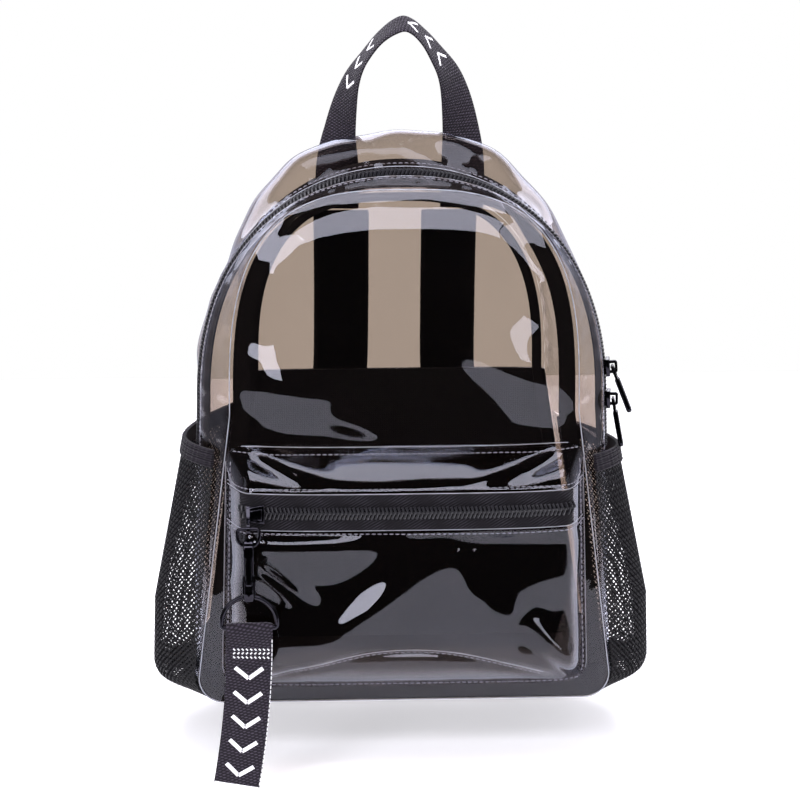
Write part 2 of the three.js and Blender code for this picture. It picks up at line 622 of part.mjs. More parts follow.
function sliderGeometry() {
  const { length, width, plate, lift, postHalf, post, bridge, bar, barWidth } = SLIDER;
  const nose = new THREE.Shape();
  nose.moveTo(-length / 2, -width / 2);
  nose.lineTo(length * 0.1, -width / 2);
  nose.lineTo(length / 2, -width * 0.32);
  nose.lineTo(length / 2, width * 0.32);
  nose.lineTo(length * 0.1, width / 2);
  nose.lineTo(-length / 2, width / 2);
  const base = new THREE.ExtrudeGeometry(nose, { depth: plate, bevelEnabled: false }).translate(0, 0, lift);
  const half = barWidth / 2;
  return joined(
    base,
    block(-postHalf, -postHalf + post, -half, half, lift + plate / 2, bridge),
    block(postHalf - post, postHalf, -half, half, lift + plate / 2, bridge),
    block(-postHalf, postHalf, -half, half, bridge - bar, bridge),
  );
}

function pullGeometry() {
  const { length, width, thick, window, arm } = PULL;
  const half = width / 2;
  const outline = new THREE.Shape();
  outline.moveTo(-thick / 2, -half);
  outline.lineTo(length - half, -half);
  outline.absarc(length - half, 0, half, -Math.PI / 2, Math.PI / 2, false);
  outline.lineTo(-thick / 2, half);
  const slot = new THREE.Path();
  slot.moveTo(thick / 2, -half + arm);
  slot.lineTo(window, -half + arm);
  slot.lineTo(window, half - arm);
  slot.lineTo(thick / 2, half - arm);
  outline.holes.push(slot);
  const grip = new THREE.Shape();
  grip.moveTo(PULL.gripFrom, -half);
  grip.lineTo(length - half, -half);
  grip.absarc(length - half, 0, half, -Math.PI / 2, Math.PI / 2, false);
  grip.lineTo(PULL.gripFrom, half);
  const plateOf = (shape, depth) => {
    const settings = { depth, bevelEnabled: false, curveSegments: 8 };
    return new THREE.ExtrudeGeometry(shape, settings).translate(0, 0, -depth / 2);
  };
  return joined(plateOf(outline, thick), plateOf(grip, PULL.gripThick));
}

const shareAtHeight = (y, z) => {
  const section = sectionAt(y);
  if (z < SHOULDER_Z) return ARCH_SHARE + ((1 - ARCH_SHARE) * (SHOULDER_Z - z)) / (SHOULDER_Z - ZIP_END_Z);
  const rise = (z - SHOULDER_Z) / (section.top - SHOULDER_Z);
  return (ARCH_SHARE * Math.acos(Math.pow(rise, section.power / 2)) * 2) / Math.PI;
};

for (const { name, z, lift } of PULLS) {
  const share = shareAtHeight(ZIP.y, z);
  const level = archNormal(ZIP.y, share, ZIP_END_Z);
  const down = new THREE.Vector3(level.z, 0, -level.x);
  const [before, after] = [-1, 1].map((step) => archPoint(ZIP.y + step, share, ZIP_END_Z));
  const across = after.sub(before).normalize();
  const outward = down.clone().cross(across).normalize();
  const mount = new THREE.Group();
  const turned = new THREE.Matrix4().makeBasis(down, outward.clone().cross(down), outward);
  mount.quaternion.setFromRotationMatrix(turned);
  mount.position.copy(archPoint(ZIP.y, share, ZIP_END_Z)).addScaledVector(outward, ZIP.chainRise);
  bag.add(mount);
  piece(`main_slider_${name}`, sliderGeometry(), BLACK_METAL, mount);
  const pull = piece(`main_pull_${name}`, pullGeometry(), BLACK_METAL, mount);
  pull.position.z = PULL.pivotZ;
  pull.rotation.y = -THREE.MathUtils.degToRad(lift);
}

// Fob: slider, pull ring, snap hook with its gate, swivel ring and webbing tag

// The chain's face under the slider's inner end, where the swelling pocket comes furthest forward.
const sliderEnd = SLIDER_X + SLIDER.length / 2;
const zipFace = pocketFace(sliderEnd / pocketHalf(zipMiddle), zipMiddle).y - POCKET.wall - POCKET.chainRise;
const fobY = zipFace - FOB_REACH;
const POCKET_SLIDER_WIDTH = 11;
const LUG = { z: zipMiddle - 6, half: 1.2, hole: 1.6, round: 3.2 };
const WIRE = 1;
const PULL_RING = { half: 7, height: 11, corner: 2 };

function pocketSlider() {
  const { length, plate, lift } = SLIDER;
  const width = POCKET_SLIDER_WIDTH;
  const bodyFront = zipFace - lift - plate;
  const tongue = new THREE.Shape();
  tongue.moveTo(bodyFront + plate, zipMiddle + width / 2 - 1);
  tongue.lineTo(fobY, LUG.z + LUG.round);
  tongue.absarc(fobY, LUG.z, LUG.round, Math.PI / 2, (3 * Math.PI) / 2, false);
  tongue.lineTo(bodyFront + plate, LUG.z - LUG.round);
  const eye = new THREE.Path();
  eye.absarc(fobY, LUG.z, LUG.hole, 0, 2 * Math.PI, true);
  tongue.holes.push(eye);
  const body = block(-length / 2, length / 2, bodyFront, zipFace - lift, -width / 2, width / 2);
  const lug = plateAlongX(tongue, LUG.half).translate(FOB_X, 0, 0);
  return joined(body.translate(SLIDER_X, 0, zipMiddle), lug);
}

piece("pocket_slider", pocketSlider(), BLACK_METAL);

// A D of wire: its straight side hangs in the slider's eye.
function wireD(half, height, corner, wire, steps) {
  const outline = new THREE.Shape();
  outline.moveTo(-half + corner, 0);
  outline.lineTo(half - corner, 0);
  outline.absarc(half - corner, -corner, corner, Math.PI / 2, 0, true);
  outline.lineTo(half, -height + half);
  outline.absarc(0, -height + half, half, 0, -Math.PI, true);
  outline.lineTo(-half, -corner);
  outline.absarc(-half + corner, -corner, corner, Math.PI, Math.PI / 2, true);
  const points = outline.getSpacedPoints(steps).slice(0, steps);
  const normal = new THREE.Vector3(0, 1, 0);
  return loopTube(points.map((p) => new THREE.Vector3(p.x, 0, p.y)), wire, 8, normal);
}

const pullRing = wireD(PULL_RING.half - WIRE, PULL_RING.height - WIRE, PULL_RING.corner, WIRE, 28);
piece("pull_ring", pullRing.translate(FOB_X, fobY, LUG.z), BLACK_METAL);

// Snap hook, drawn from its own foot: spine behind, nose and gate in front.
const HOOK = {
  bend: 2.8, bar: 2.6, hang: 1, eyeZ: 20, noseZ: 16.5, foot: 3.2, footDrop: -4, half: 2.9, footHalf: 3.7,
  stemHole: 1.7, slotHalf: 1.9, pin: 0.6, pinY: -4.1, pinZ: 1.4,
};
const GATE = { half: 1.6, thick: 1.6, top: 16.2, hole: 0.95, knuckle: 1.5 };
const RING = {
  half: 16.4, height: 19, corner: 1.8, wire: 1.4,
  stem: 1.35, head: 2.05, headTop: 4.5, collar: 3.4, collarDrop: 5,
};
const RUN_CLEAR = 0.4;
const hookFootZ = LUG.z - PULL_RING.height + 2 * WIRE + HOOK.hang - (HOOK.eyeZ + HOOK.bend);

function hookGeometry() {
  const outer = HOOK.bend + HOOK.bar;
  const hook = new THREE.Shape();
  hook.moveTo(outer, 0);
  hook.lineTo(outer, HOOK.eyeZ);
  hook.absarc(0, HOOK.eyeZ, outer, 0, Math.PI, false);
  hook.lineTo(-outer, HOOK.noseZ);
  hook.lineTo(-HOOK.bend, HOOK.noseZ);
  hook.lineTo(-HOOK.bend, HOOK.eyeZ);
  hook.absarc(0, HOOK.eyeZ, HOOK.bend, Math.PI, 0, true);
  hook.lineTo(HOOK.bend, 0);
  const foot = block(-HOOK.footHalf, HOOK.footHalf, -outer, outer, HOOK.footDrop, HOOK.foot);
  const knuckleRoom = GATE.knuckle + RUN_CLEAR;
  const slotBack = HOOK.pinY + knuckleRoom;
  const slotFloor = HOOK.pinZ - knuckleRoom;
  const slot = block(-HOOK.slotHalf, HOOK.slotHalf, -outer - 1, slotBack, slotFloor, HOOK.foot + 1);
  const bore = rod(HOOK.stemHole, HOOK.footDrop - 1, HOOK.foot + 1, [0, 0], true);
  const pin = rod(HOOK.pin, -HOOK.footHalf + 0.5, HOOK.footHalf - 0.5, [HOOK.pinY, HOOK.pinZ], false, 12);
  const shaped = cutFrom(joined(foot, plateAlongX(hook, HOOK.half)), slot, bore);
  return joined(shaped, pin);
}

function gateGeometry() {
  const front = HOOK.pinY - GATE.thick / 2;
  const lever = joined(
    block(-GATE.half, GATE.half, front, front + GATE.thick, HOOK.pinZ, GATE.top),
    rod(GATE.knuckle, -GATE.half, GATE.half, [HOOK.pinY, HOOK.pinZ]),
  );
  return cutFrom(lever, rod(GATE.hole, -GATE.half - 1, GATE.half + 1, [HOOK.pinY, HOOK.pinZ], false, 12));
}

// The swivel ring turns on a stem through the hook's foot.
function ringGeometry() {
  const top = HOOK.footDrop - RUN_CLEAR;
  const collar = rod(RING.collar, top - RING.collarDrop, top, [0, 0], true);
  const stem = rod(RING.stem, top - 1, RING.headTop, [0, 0], true);
  const head = rod(RING.head, HOOK.foot + RUN_CLEAR, RING.headTop, [0, 0], true);
  const wire = wireD(RING.half - RING.wire, RING.height - RING.wire, RING.corner, RING.wire, 44)
    .rotateY(Math.PI)
    .translate(0, 0, top - RING.collarDrop / 2 - RING.height + RING.wire);
  return joined(wire, collar, stem, head);
}

const fob = new THREE.Group();
fob.position.set(FOB_X, fobY, hookFootZ);
bag.add(fob);
piece("hook_body", hookGeometry(), BLACK_METAL, fob);
piece("hook_gate", gateGeometry(), BLACK_METAL, fob);
piece("swivel_ring", ringGeometry(), BLACK_METAL, fob);

// The tag is webbing folded over the ring's straight bar, its two plies hanging together.
function tagGeometry() {
  const barZ = HOOK.footDrop - RUN_CLEAR - RING.collarDrop / 2 - RING.height + RING.wire;
  const turn = RING.wire + RUN_CLEAR;
  const plies = spread(0, 1, 8).map((share) => ({
    drop: turn + share * TAG.length,
    apart: mix(turn, TAG.plyGap / 2, ease(share * 6)),
    sweep: -TAG.sweep * share * share,
  }));
  const ply = (side) =>
    plies.map(({ drop, apart, sweep }) => new THREE.Vector3(sweep, side * apart, barZ - drop));
  const over = [160, 125, 90, 55, 20].map((turnDeg) => {
    const angle = THREE.MathUtils.degToRad(turnDeg);
    return new THREE.Vector3(0, turn * Math.cos(angle), barZ + turn * Math.sin(angle));
  });
  const route = [...ply(-1).reverse(), ...over, ...ply(1)];
  return ribbon(route, WEBBING.width, () => sideways.clone().negate(), () => TAG.thick, 1);
}

piece("tag", tagGeometry(), BLACK_WEBBING, fob);

export default bag;
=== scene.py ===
"""Looks of a clear panel backpack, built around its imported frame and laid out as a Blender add-on."""

import math

import bmesh
import bpy
import numpy as np
from bpy.props import FloatProperty, FloatVectorProperty, PointerProperty
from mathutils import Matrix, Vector


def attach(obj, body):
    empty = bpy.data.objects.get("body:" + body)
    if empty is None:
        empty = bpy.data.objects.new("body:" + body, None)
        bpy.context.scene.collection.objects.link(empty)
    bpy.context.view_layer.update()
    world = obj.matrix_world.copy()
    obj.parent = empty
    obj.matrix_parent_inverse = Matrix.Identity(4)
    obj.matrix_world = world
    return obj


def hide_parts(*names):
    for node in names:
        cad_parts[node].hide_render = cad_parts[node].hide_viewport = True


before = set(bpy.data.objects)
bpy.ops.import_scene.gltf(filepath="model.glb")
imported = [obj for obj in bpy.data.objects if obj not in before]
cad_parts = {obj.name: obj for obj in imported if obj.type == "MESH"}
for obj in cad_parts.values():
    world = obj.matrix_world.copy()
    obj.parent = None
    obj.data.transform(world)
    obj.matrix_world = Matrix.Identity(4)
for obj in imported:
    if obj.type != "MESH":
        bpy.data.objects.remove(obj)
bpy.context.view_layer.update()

bl_info = {
    "name": "Clear Panel Backpack",
    "version": (1, 0, 0),
    "blender": (4, 5, 0),
    "location": "View3D > Sidebar > Backpack",
    "description": "Builds the film, webbing, zips and fob of a clear panel backpack around its frame",
    "category": "Object",
}

MM = 0.001
LEFT_RIGHT = (("left", -1), ("right", 1))

# The bag is drawn in millimetres from the middle of its base. The frame's origin is the handle's crest.
HANG_POINT = np.array((5.0, 57.0, 364.0))

# Driving sizes, as in the part's solids. Only the bindings and the nets' lower edges lie a little lower here.
WALL = 1.0
FRONT_Y, BACK_Y = -54.0, 58.0
SEAM_GAP = 0.3
SHOULDER_Z = 165.0
CORNER_RADIUS = 14.0
ZIP_END_Z = 138.0
DOME_SHARE = 0.86
CLOTH_TOP_Z = 163.0
CLOTH_THICK = 3.0
FRONT_BULGE, BACK_BULGE = 9.0, 3.0
# Depth, top, half width at the shoulder, half width at the base, roundness of the dome
SECTIONS = (
    (FRONT_Y, 288.5, 95.5, 114.5, 3.0),
    (-26.0, 293.0, 112.0, 117.0, 2.2),
    (18.0, 308.5, 102.0, 116.0, 2.45),
    (BACK_Y, 269.5, 87.0, 110.0, 2.7),
)
ZIP = {"y": -26.0, "chain": 3.0, "open": 4.5, "tape": 13.0, "under": 0.8, "thick": 0.8, "rise": 1.6}
BINDING = {"inset": 1.9, "thick": 1.4, "clear": 0.8, "foot": 20.0, "top_share": 0.3, "side_share": 0.62}
# Seam, way in, width at the sides, width over the top and turn over the top in degrees
BINDINGS = (("front_binding", FRONT_Y, 1, 9.0, 8.0, 70.0), ("back_binding", BACK_Y, -1, 5.5, 4.5, 0.0))
POCKET = {
    "top": 148.5, "bottom": 11.0, "half_zip": 97.5, "half_base": 101.0, "corner_top": 10.0,
    "corner_base": 12.0, "depth": 24.0, "top_run": 22.0, "side_run": 13.0, "bottom_run": 26.0, "wall": 1.2,
    "clear": 0.6, "zip_top": 128.0, "zip_bottom": 109.0, "zip_half": 89.0, "chain": 3.2, "rise": 1.8,
}
POCKET_ZIP_Z = (POCKET["zip_top"] + POCKET["zip_bottom"]) / 2
NET = {
    "front": -49.0, "back": 53.0, "bottom": 0.5, "hem_tall": 10.0, "hem_wall": 2.0, "clear": 0.5,
    "depth": 21.0, "edge_run": 34.0, "bottom_run": 4.5, "neck": 0.27, "neck_from": 50.0,
}
# Side, height at the front and rise towards the back
HEMS = {-1: (144.0, 2.0), 1: (139.0, -4.0)}
WEBBING_WIDTH, WEBBING_THICK = 25.0, 1.5
PAD = {"width": 32.0, "thick": 6.0, "end": 0.35, "end_runs": 8.0, "edge": 0.55}
HANDLE = {"x": 2.5, "lean": 2.5, "foot": 258.0, "crest": 364.0}
SLIDER = {
    "length": 10.0, "width": 8.5, "plate": 2.3, "lift": 0.3, "post_half": 3.6, "post": 1.6, "bridge": 6.8,
    "bar": 1.5, "bar_half": 1.0,
}
PULL = {
    "length": 28.0, "half": 2.8, "thick": 1.5, "window": 5.4, "arm": 1.4, "pivot": 3.9, "grip_from": 7.0,
    "grip": 2.8,
}
# Height of each slider on the main zip and lift of its pull in degrees
PULLS = (("upper", 183.0, 17.0), ("lower", 165.0, 10.0))
SLIDER_X, FOB_X, FOB_REACH, POCKET_SLIDER = -82.0, -86.0, 9.0, 11.0
LUG = {"z": 112.5, "half": 1.2, "hole": 1.6, "round": 3.2}
WIRE = 1.0
PULL_RING = {"half": 7.0, "height": 11.0, "corner": 2.0}
HOOK = {
    "bend": 2.8, "bar": 2.6, "hang": 1.0, "eye": 20.0, "nose": 16.5, "foot": 3.2, "drop": -4.0, "half": 2.9,
    "foot_half": 3.7, "slot": 1.9, "pin": 0.6, "pin_y": -4.1, "pin_z": 1.4,
}
GATE = {"half": 1.6, "thick": 1.6, "top": 16.2, "waist": 5.0, "knuckle": 1.5}
RING = {
    "half": 16.4, "height": 19.0, "corner": 1.8, "wire": 1.4, "stem": 1.35, "collar": 3.4, "collar_drop": 5.0,
}
RUN_CLEAR = 0.4
SWIVEL_TOP = HOOK["drop"] - RUN_CLEAR
RING_BAR = SWIVEL_TOP - RING["collar_drop"] / 2 - RING["height"] + RING["wire"]
TAG = {"length": 88.0, "sweep": 8.0, "thick": 1.2, "ply": 0.5}
ADJUSTER = {"width": 33.0, "height": 19.4, "thick": 4.0, "frame": 3.0, "bar": 3.0, "inset": 1.5}

# x, y, z and the direction across the webbing
HANDLE_ROWS = (
    (-36.0, 62.1, 258.0, -1.0, 0.0, 0.0),
    (-36.0, 62.8, 278.0, -1.0, 0.0, 0.0),
    (-35.2, 63.0, 298.0, -0.9, 0.43, 0.04),
    (-31.0, 62.0, 323.0, -0.66, 0.73, 0.18),
    (-26.7, 61.0, 336.0, -0.48, 0.85, 0.22),
    (-19.8, 60.0, 347.5, -0.28, 0.94, 0.14),
    (-12.6, 58.5, 356.5, -0.1, 0.98, 0.08),
    (-5.5, 57.5, 362.0, -0.03, 0.98, 0.13),
    (0.0, 57.0, 364.0, 0.0, 0.975, 0.22),
    (4.8, 57.5, 362.0, 0.12, 0.97, 0.2),
    (10.8, 58.5, 356.5, 0.3, 0.93, 0.2),
    (17.8, 60.0, 347.5, 0.52, 0.82, 0.2),
    (25.3, 61.0, 336.0, 0.7, 0.68, 0.2),
    (30.0, 62.0, 323.0, 0.84, 0.52, 0.15),
    (34.6, 63.0, 298.0, 0.97, 0.25, 0.04),
    (36.0, 62.8, 278.0, 1.0, 0.0, 0.0),
    (36.0, 62.1, 258.0, 1.0, 0.0, 0.0),
)
STRAP_ROUTE = (
    (31.0, 60.6, 257.0), (31.0, 64.0, 236.0), (31.0, 70.0, 200.0),
    (32.0, 80.0, 152.0), (38.0, 92.0, 104.0), (48.0, 100.0, 62.0),
)
WEB_ROUTE = (
    (53.0, 102.0, 42.0), (58.0, 101.0, 24.0), (64.0, 94.0, 8.0),
    (72.0, 80.0, 2.0), (79.0, 69.0, 6.0), (82.0, 64.8, 18.0),
)

# Ridges (above 0) and dents (below 0) in the film: x and z of both ends, half width, height
FRONT_CREASES = (
    (-104.0, 262.0, -62.0, 240.0, 5.0, 3.0),
    (-92.0, 240.0, -78.0, 196.0, 6.0, -2.4),
    (104.0, 258.0, 66.0, 232.0, 5.0, 3.0),
    (96.0, 240.0, 80.0, 190.0, 7.0, -2.6),
    (-118.0, 190.0, -16.0, 176.0, 17.0, 7.0),
    (-44.0, 168.0, -8.0, 152.0, 7.0, 2.2),
    (16.0, 220.0, 122.0, 160.0, 18.0, 9.0),
    (-30.0, 240.0, 34.0, 214.0, 18.0, 1.6),
)
POCKET_CREASES = (
    (-98.0, 150.0, -46.0, 126.0, 4.0, -3.0),
    (-84.0, 152.0, -36.0, 133.0, 4.0, 2.6),
    (96.0, 148.0, 44.0, 126.0, 4.5, -3.2),
    (82.0, 152.0, 30.0, 132.0, 4.0, 2.6),
    (-62.0, 26.0, 34.0, 106.0, 12.0, 7.0),
    (-112.0, 100.0, -4.0, 104.0, 13.0, 4.0),
    (-98.0, 82.0, -54.0, 58.0, 8.0, -2.2),
    (-84.0, 92.0, -48.0, 62.0, 4.0, -2.0),
    (64.0, 58.0, 108.0, 12.0, 5.5, 4.2),
    (58.0, 48.0, 100.0, 8.0, 4.0, -3.0),
    (58.0, 62.0, 118.0, 54.0, 24.0, -3.8),
    (-96.0, 34.0, -36.0, 50.0, 8.0, 2.4),
    (-4.0, 108.0, 98.0, 96.0, 15.0, -4.6),
)
# The fold over the pocket's lower seam, which runs down from its middle to its ends
FOLD = {"high": 38.0, "drop": 16.0, "half": 74.0, "deep": 3.2, "wide": 3.5}
# The front panel rolls back under the dome's seam, and leans in behind the pocket
ROLL = {"height": 2.2, "from": 10.0, "run": 11.0, "soft": 0.12, "fade_from": 24.0, "fade": 45.0, "half": 90.0}
LEAN = {"depth": 7.0, "from": 74.0, "run": 48.0, "low": 15.0, "low_run": 12.0, "inset": 6.0, "side_run": 16.0}
# Longest of a panel's slow waves, and their seed
FRONT_WAVES, POCKET_WAVES, CLOTH_WAVES = (120.0, 3), (95.0, 11), (110.0, 31)
GUSSET_WAVE, SIDE_WAVE, SIDE_SEED = 76.0, 80.0, 20
# How far from a seam the film is held flat
FRONT_HOLD, GUSSET_HOLD, SIDE_HOLD, ZIP_HOLD, ZIP_FREE = 16.0, 14.0, 12.0, 9.0, 2.5
# Puckers along a sewn edge of the gusset: where they are highest, how wide they run and their pitch
PUCKER = {"at": 4.0, "half": 4.0, "pitch": 13.0}
# A point far enough below the dome to lie inside it
INSIDE = np.array((0.0, 0.0, 100.0))


def linear(code):
    """Turns an sRGB hex colour into linear red, green, blue and alpha."""
    shares = [int(code[i:i + 2], 16) / 255 for i in (1, 3, 5)]
    return tuple(s / 12.92 if s <= 0.04045 else ((s + 0.055) / 1.055) ** 2.4 for s in shares) + (1.0,)


def colour(name, description, code):
    """A colour that the user may change."""
    return FloatVectorProperty(
        name=name, description=description, default=linear(code), size=4, min=0, max=1, subtype="COLOR",
    )


def length(name, description, millimetres):
    """A length that the user may change, kept in metres."""
    return FloatProperty(name=name, description=description, default=millimetres * MM, min=0, unit="LENGTH")


class BackpackSizes(bpy.types.PropertyGroup):
    """Sizes of the bag's fine detail."""

    film: length("Film", "Thickness of the clear film", WALL)
    ripple: length("Ripple", "Height of the film's slow waves", 1.2)
    pucker: length("Pucker", "Height of the film's puckers along a sewn edge", 0.25)
    stitch: length("Stitch", "Length of one stitch", 2.3)
    stitch_pitch: length("Stitch pitch", "Distance from stitch to stitch", 3.2)
    thread: length("Thread", "Thickness of the sewing thread", 0.6)
    tooth_pitch: length("Tooth pitch", "Distance from coil tooth to coil tooth", 2.2)
    net_pitch: length("Net pitch", "Width of one opening of the net", 3.4)
    net_strand: length("Net strand", "Thickness of the net's strands", 1.3)
    pad_puff: length("Pad puff", "Most that the stuffing may push the strap pad out", 1.2)


class BackpackColours(bpy.types.PropertyGroup):
    """Colours of the bag's materials."""

    film: colour("Film", "What one face of the smoked film lets through", "#e8e2dd")
    # The film's cut edges and the fold's lip are painted this pale colour, a painted highlight for the light
    # they gather.
    edge_highlight: colour("Cut edge", "Cut edge of the film", "#c6c8d4")
    cloth: colour("Cloth", "Woven back panel, base, bindings and strap pads", "#121114")
    webbing: colour("Webbing", "Handle, strap webbing, hems and tag", "#231f26")
    net: colour("Net", "Side pockets' net", "#0b0a0d")
    tape: colour("Tape", "Zip tapes", "#18161a")
    coil: colour("Coil", "Zip teeth", "#131216")
    # The black sewing thread is painted dark grey, a painted highlight for its glints.
    thread: colour("Thread", "Sewing thread", "#66636c")
    metal: colour("Metal", "Black plated fittings", "#232227")
    plastic: colour("Plastic", "Strap adjusters", "#141316")
    pale: colour("Pale print", "Pale thread and print on the webbing", "#dddadf")
    floor: colour("Floor", "Paper floor", "#f4f3f5")


def size(name):
    """One of the sizes that the user may change, in millimetres."""
    return getattr(bpy.context.scene.backpack_sizes, name) / MM


def tone(name):
    """One of the colours that the user may change."""
    return tuple(getattr(bpy.context.scene.backpack_colours, name))


# Lines and surfaces, in bag millimetres


def ease(share):
    """A quarter sine from 0 to 1."""
    return np.sin(np.clip(share, 0, 1) * math.pi / 2)


def unit(vectors):
    """Vectors of length 1."""
    vectors = np.asarray(vectors, float)
    return vectors / np.maximum(np.linalg.norm(vectors, axis=-1, keepdims=True), 1e-12)


def square_to(vectors, along):
    """Unit vectors at right angles to a direction, as near as can be to the given ones."""
    return unit(vectors - along * np.sum(vectors * along, axis=-1, keepdims=True))


def xyz(x, y, z):
    """Points from their three coordinates."""
    return np.stack(np.broadcast_arrays(x, y, z), -1)


def grid(first, second):
    """Every pair of two rows of numbers, as two grids."""
    return np.meshgrid(first, second, indexing="ij")


def run_of(line):
    """Length along a line at each of its points."""
    return np.concatenate([[0], np.cumsum(np.linalg.norm(np.diff(line, axis=0), axis=1))])


def read_rows(at, run, rows):
    """Rows of numbers that are given along a run, read at other places on it."""
    return np.stack([np.interp(at, run, rows[:, axis]) for axis in range(rows.shape[1])], -1)


def on_line(line, at):
    """Points at lengths along a line."""
    return read_rows(at, run_of(line), line)


def spaced(line, count):
    """The line again with evenly spaced points."""
    return on_line(line, np.linspace(0, run_of(line)[-1], count))


ROUTE_STEPS = 24


def smooth_route(points):
    """A centripetal Catmull-Rom curve through points, with even steps in each of its spans."""
    points = np.asarray(points, float)
    points = np.concatenate([[2 * points[0] - points[1]], points, [2 * points[-1] - points[-2]]])
    dense = []
    for i in range(1, len(points) - 2):
        p = points[i - 1:i + 3]
        knots = np.concatenate([[0], np.cumsum(np.linalg.norm(np.diff(p, axis=0), axis=1) ** 0.5 + 1e-9)])
        t = np.linspace(knots[1], knots[2], ROUTE_STEPS, endpoint=False)[:, None]

        def between(low, high, start, end):
            share = (t - knots[start]) / (knots[end] - knots[start])
            return low + (high - low) * share

        a = [between(p[k], p[k + 1], k, k + 1) for k in range(3)]
        b = [between(a[k], a[k + 1], k, k + 2) for k in range(2)]
        dense.append(between(b[0], b[1], 1, 2))
    return np.concatenate(dense + [points[-2:-1]])


def section(y):
    """Top, shoulder half width, base half width and roundness of the bag at depth y."""
    y = np.asarray(y, float)
    rows = np.array(SECTIONS)
    total = np.zeros(y.shape + (4,))
    for i, row in enumerate(rows):
        weight = np.ones_like(y)
        for j, other in enumerate(rows):
            if i != j:
                weight = weight * (y - other[0]) / (row[0] - other[0])
        total += weight[..., None] * row[1:]
    return np.moveaxis(total, -1, 0)


def half_width(y, z):
    """Half width of the bag at depth y and height z."""
    y, z = np.broadcast_arrays(np.asarray(y, float), np.asarray(z, float))
    top, shoulder, base, power = section(y)
    rise = np.clip((z - SHOULDER_Z) / (top - SHOULDER_Z), 0, 1)
    dome = shoulder * (1 - rise ** power) ** (1 / power)
    side = shoulder + (base - shoulder) * np.clip((SHOULDER_Z - z) / (SHOULDER_Z - CORNER_RADIUS), 0, 1)
    drop = np.clip(CORNER_RADIUS - z, 0, CORNER_RADIUS)
    corner = base - CORNER_RADIUS + np.sqrt(CORNER_RADIUS ** 2 - drop ** 2)
    return np.where(z >= SHOULDER_Z, dome, np.where(z >= CORNER_RADIUS, side, corner))


def arch_line(y, foot, count):
    """The dome's line at depth y, from the left foot over the top to the right foot."""
    turn = np.linspace(0, math.pi / 2, 400)
    top, shoulder, _, power = section(y)
    across = shoulder * np.sin(turn) ** (2 / power)
    up = SHOULDER_Z + (top - SHOULDER_Z) * np.cos(turn) ** (2 / power)
    low = np.linspace(SHOULDER_Z, foot, 20)[1:]
    right = np.concatenate([np.stack([across, up], -1), np.stack([half_width(y, low), low], -1)])
    both = np.concatenate([right[:0:-1] * (-1, 1), right])
    flat = spaced(both, count)
    return xyz(flat[:, 0], float(y), flat[:, 1])


def arch_grid(depths, foot, count):
    """The dome's surface as a grid along the arch, then through the depth, and its normals."""
    at = np.stack([arch_line(y, foot, count) for y in depths], axis=1)
    return at, grid_normals(at, at - INSIDE)


def outline(y, count, low=0.0, high=None):
    """The bag's closed outline at depth y between two heights, as x and z."""
    top = float(section(y)[0]) if high is None else high
    heights = low + (top - low) * (1 - np.cos(np.linspace(0, math.pi, 600))) / 2
    right = np.stack([half_width(y, heights), heights], -1)
    loop = np.concatenate([right, right[::-1] * (-1, 1), right[:1]])
    return spaced(loop, count + 1)[:-1]


def swell(y, x, z):
    """How far a panel swells between its edges, as a share."""
    across = np.clip(np.abs(x) / np.maximum(half_width(y, z), 1), 0, 1)
    up = np.clip(np.abs(z / section(y)[0] - 0.5) * 2, 0, 1)
    return (1 - across ** 4) * (1 - up ** 6)


def ripple(a, b, longest, seed):
    """Slow waves over two lengths, from -1 to 1, the same each run."""
    pick = np.random.default_rng(seed)
    total = 0
    for share in (1.0, 0.8, 0.62, 0.47, 0.36):
        turn, phase = pick.uniform(0, math.pi), pick.uniform(0, 2 * math.pi)
        along = a * math.cos(turn) + b * math.sin(turn)
        total = total + share * np.sin(2 * math.pi * along / (longest * share) + phase)
    return total / 2.4


def creases(x, z, rows):
    """Ridges and dents of a table, fading out towards both ends."""
    total = np.zeros(np.broadcast(x, z).shape)
    for x0, z0, x1, z1, half, height in rows:
        dx, dz = x1 - x0, z1 - z0
        reach = math.hypot(dx, dz)
        along = ((x - x0) * dx + (z - z0) * dz) / reach ** 2
        away = ((x - x0) * dz - (z - z0) * dx) / reach
        total += height * np.clip(1 - (2 * along - 1) ** 2, 0, None) * np.exp(-(away / half) ** 2)
    return total


def front_face(x, z):
    """Depth of the front panel's outer face before it is rumpled."""
    return FRONT_Y - WALL - FRONT_BULGE * swell(FRONT_Y, x, z)


def back_face(x, z):
    """Depth of the back panel's outer face."""
    return BACK_Y + WALL + BACK_BULGE * swell(BACK_Y, x, z)


def rumpled_front(x, z):
    """Depth of the front panel's outer face: waved, creased, rolled at the top, leaning behind the pocket."""
    above = ease((z - POCKET["top"]) / FRONT_HOLD)
    waves = size("ripple") * ripple(x, z, *FRONT_WAVES) + creases(x, z, FRONT_CREASES)
    top, shoulder, _, power = section(FRONT_Y)
    over = (1 - np.clip(np.abs(x) / shoulder, 0, 1) ** power) ** (1 / power)
    under = SHOULDER_Z + (top - SHOULDER_Z) * over - z
    shifts = (-ROLL["soft"], 0, ROLL["soft"])
    ramp = sum(np.clip((under - ROLL["from"]) / ROLL["run"] + shift, 0, 1) for shift in shifts) / 3
    fade = np.exp(-np.clip(under - ROLL["fade_from"], 0, None) / ROLL["fade"])
    fade = fade * np.clip(1 - (np.abs(x) / ROLL["half"]) ** 4, 0, 1)
    roll = ROLL["height"] * ramp * (0.7 + 0.3 * ramp) * fade
    lean = LEAN["depth"] * np.clip((LEAN["from"] - z) / LEAN["run"], 0, 1)
    lean = lean * ease((z - LEAN["low"]) / LEAN["low_run"])
    lean = lean * ease((pocket_half(z) - LEAN["inset"] - np.abs(x)) / LEAN["side_run"])
    return front_face(x, z) - swell(FRONT_Y, x, z) * waves * above - roll - lean


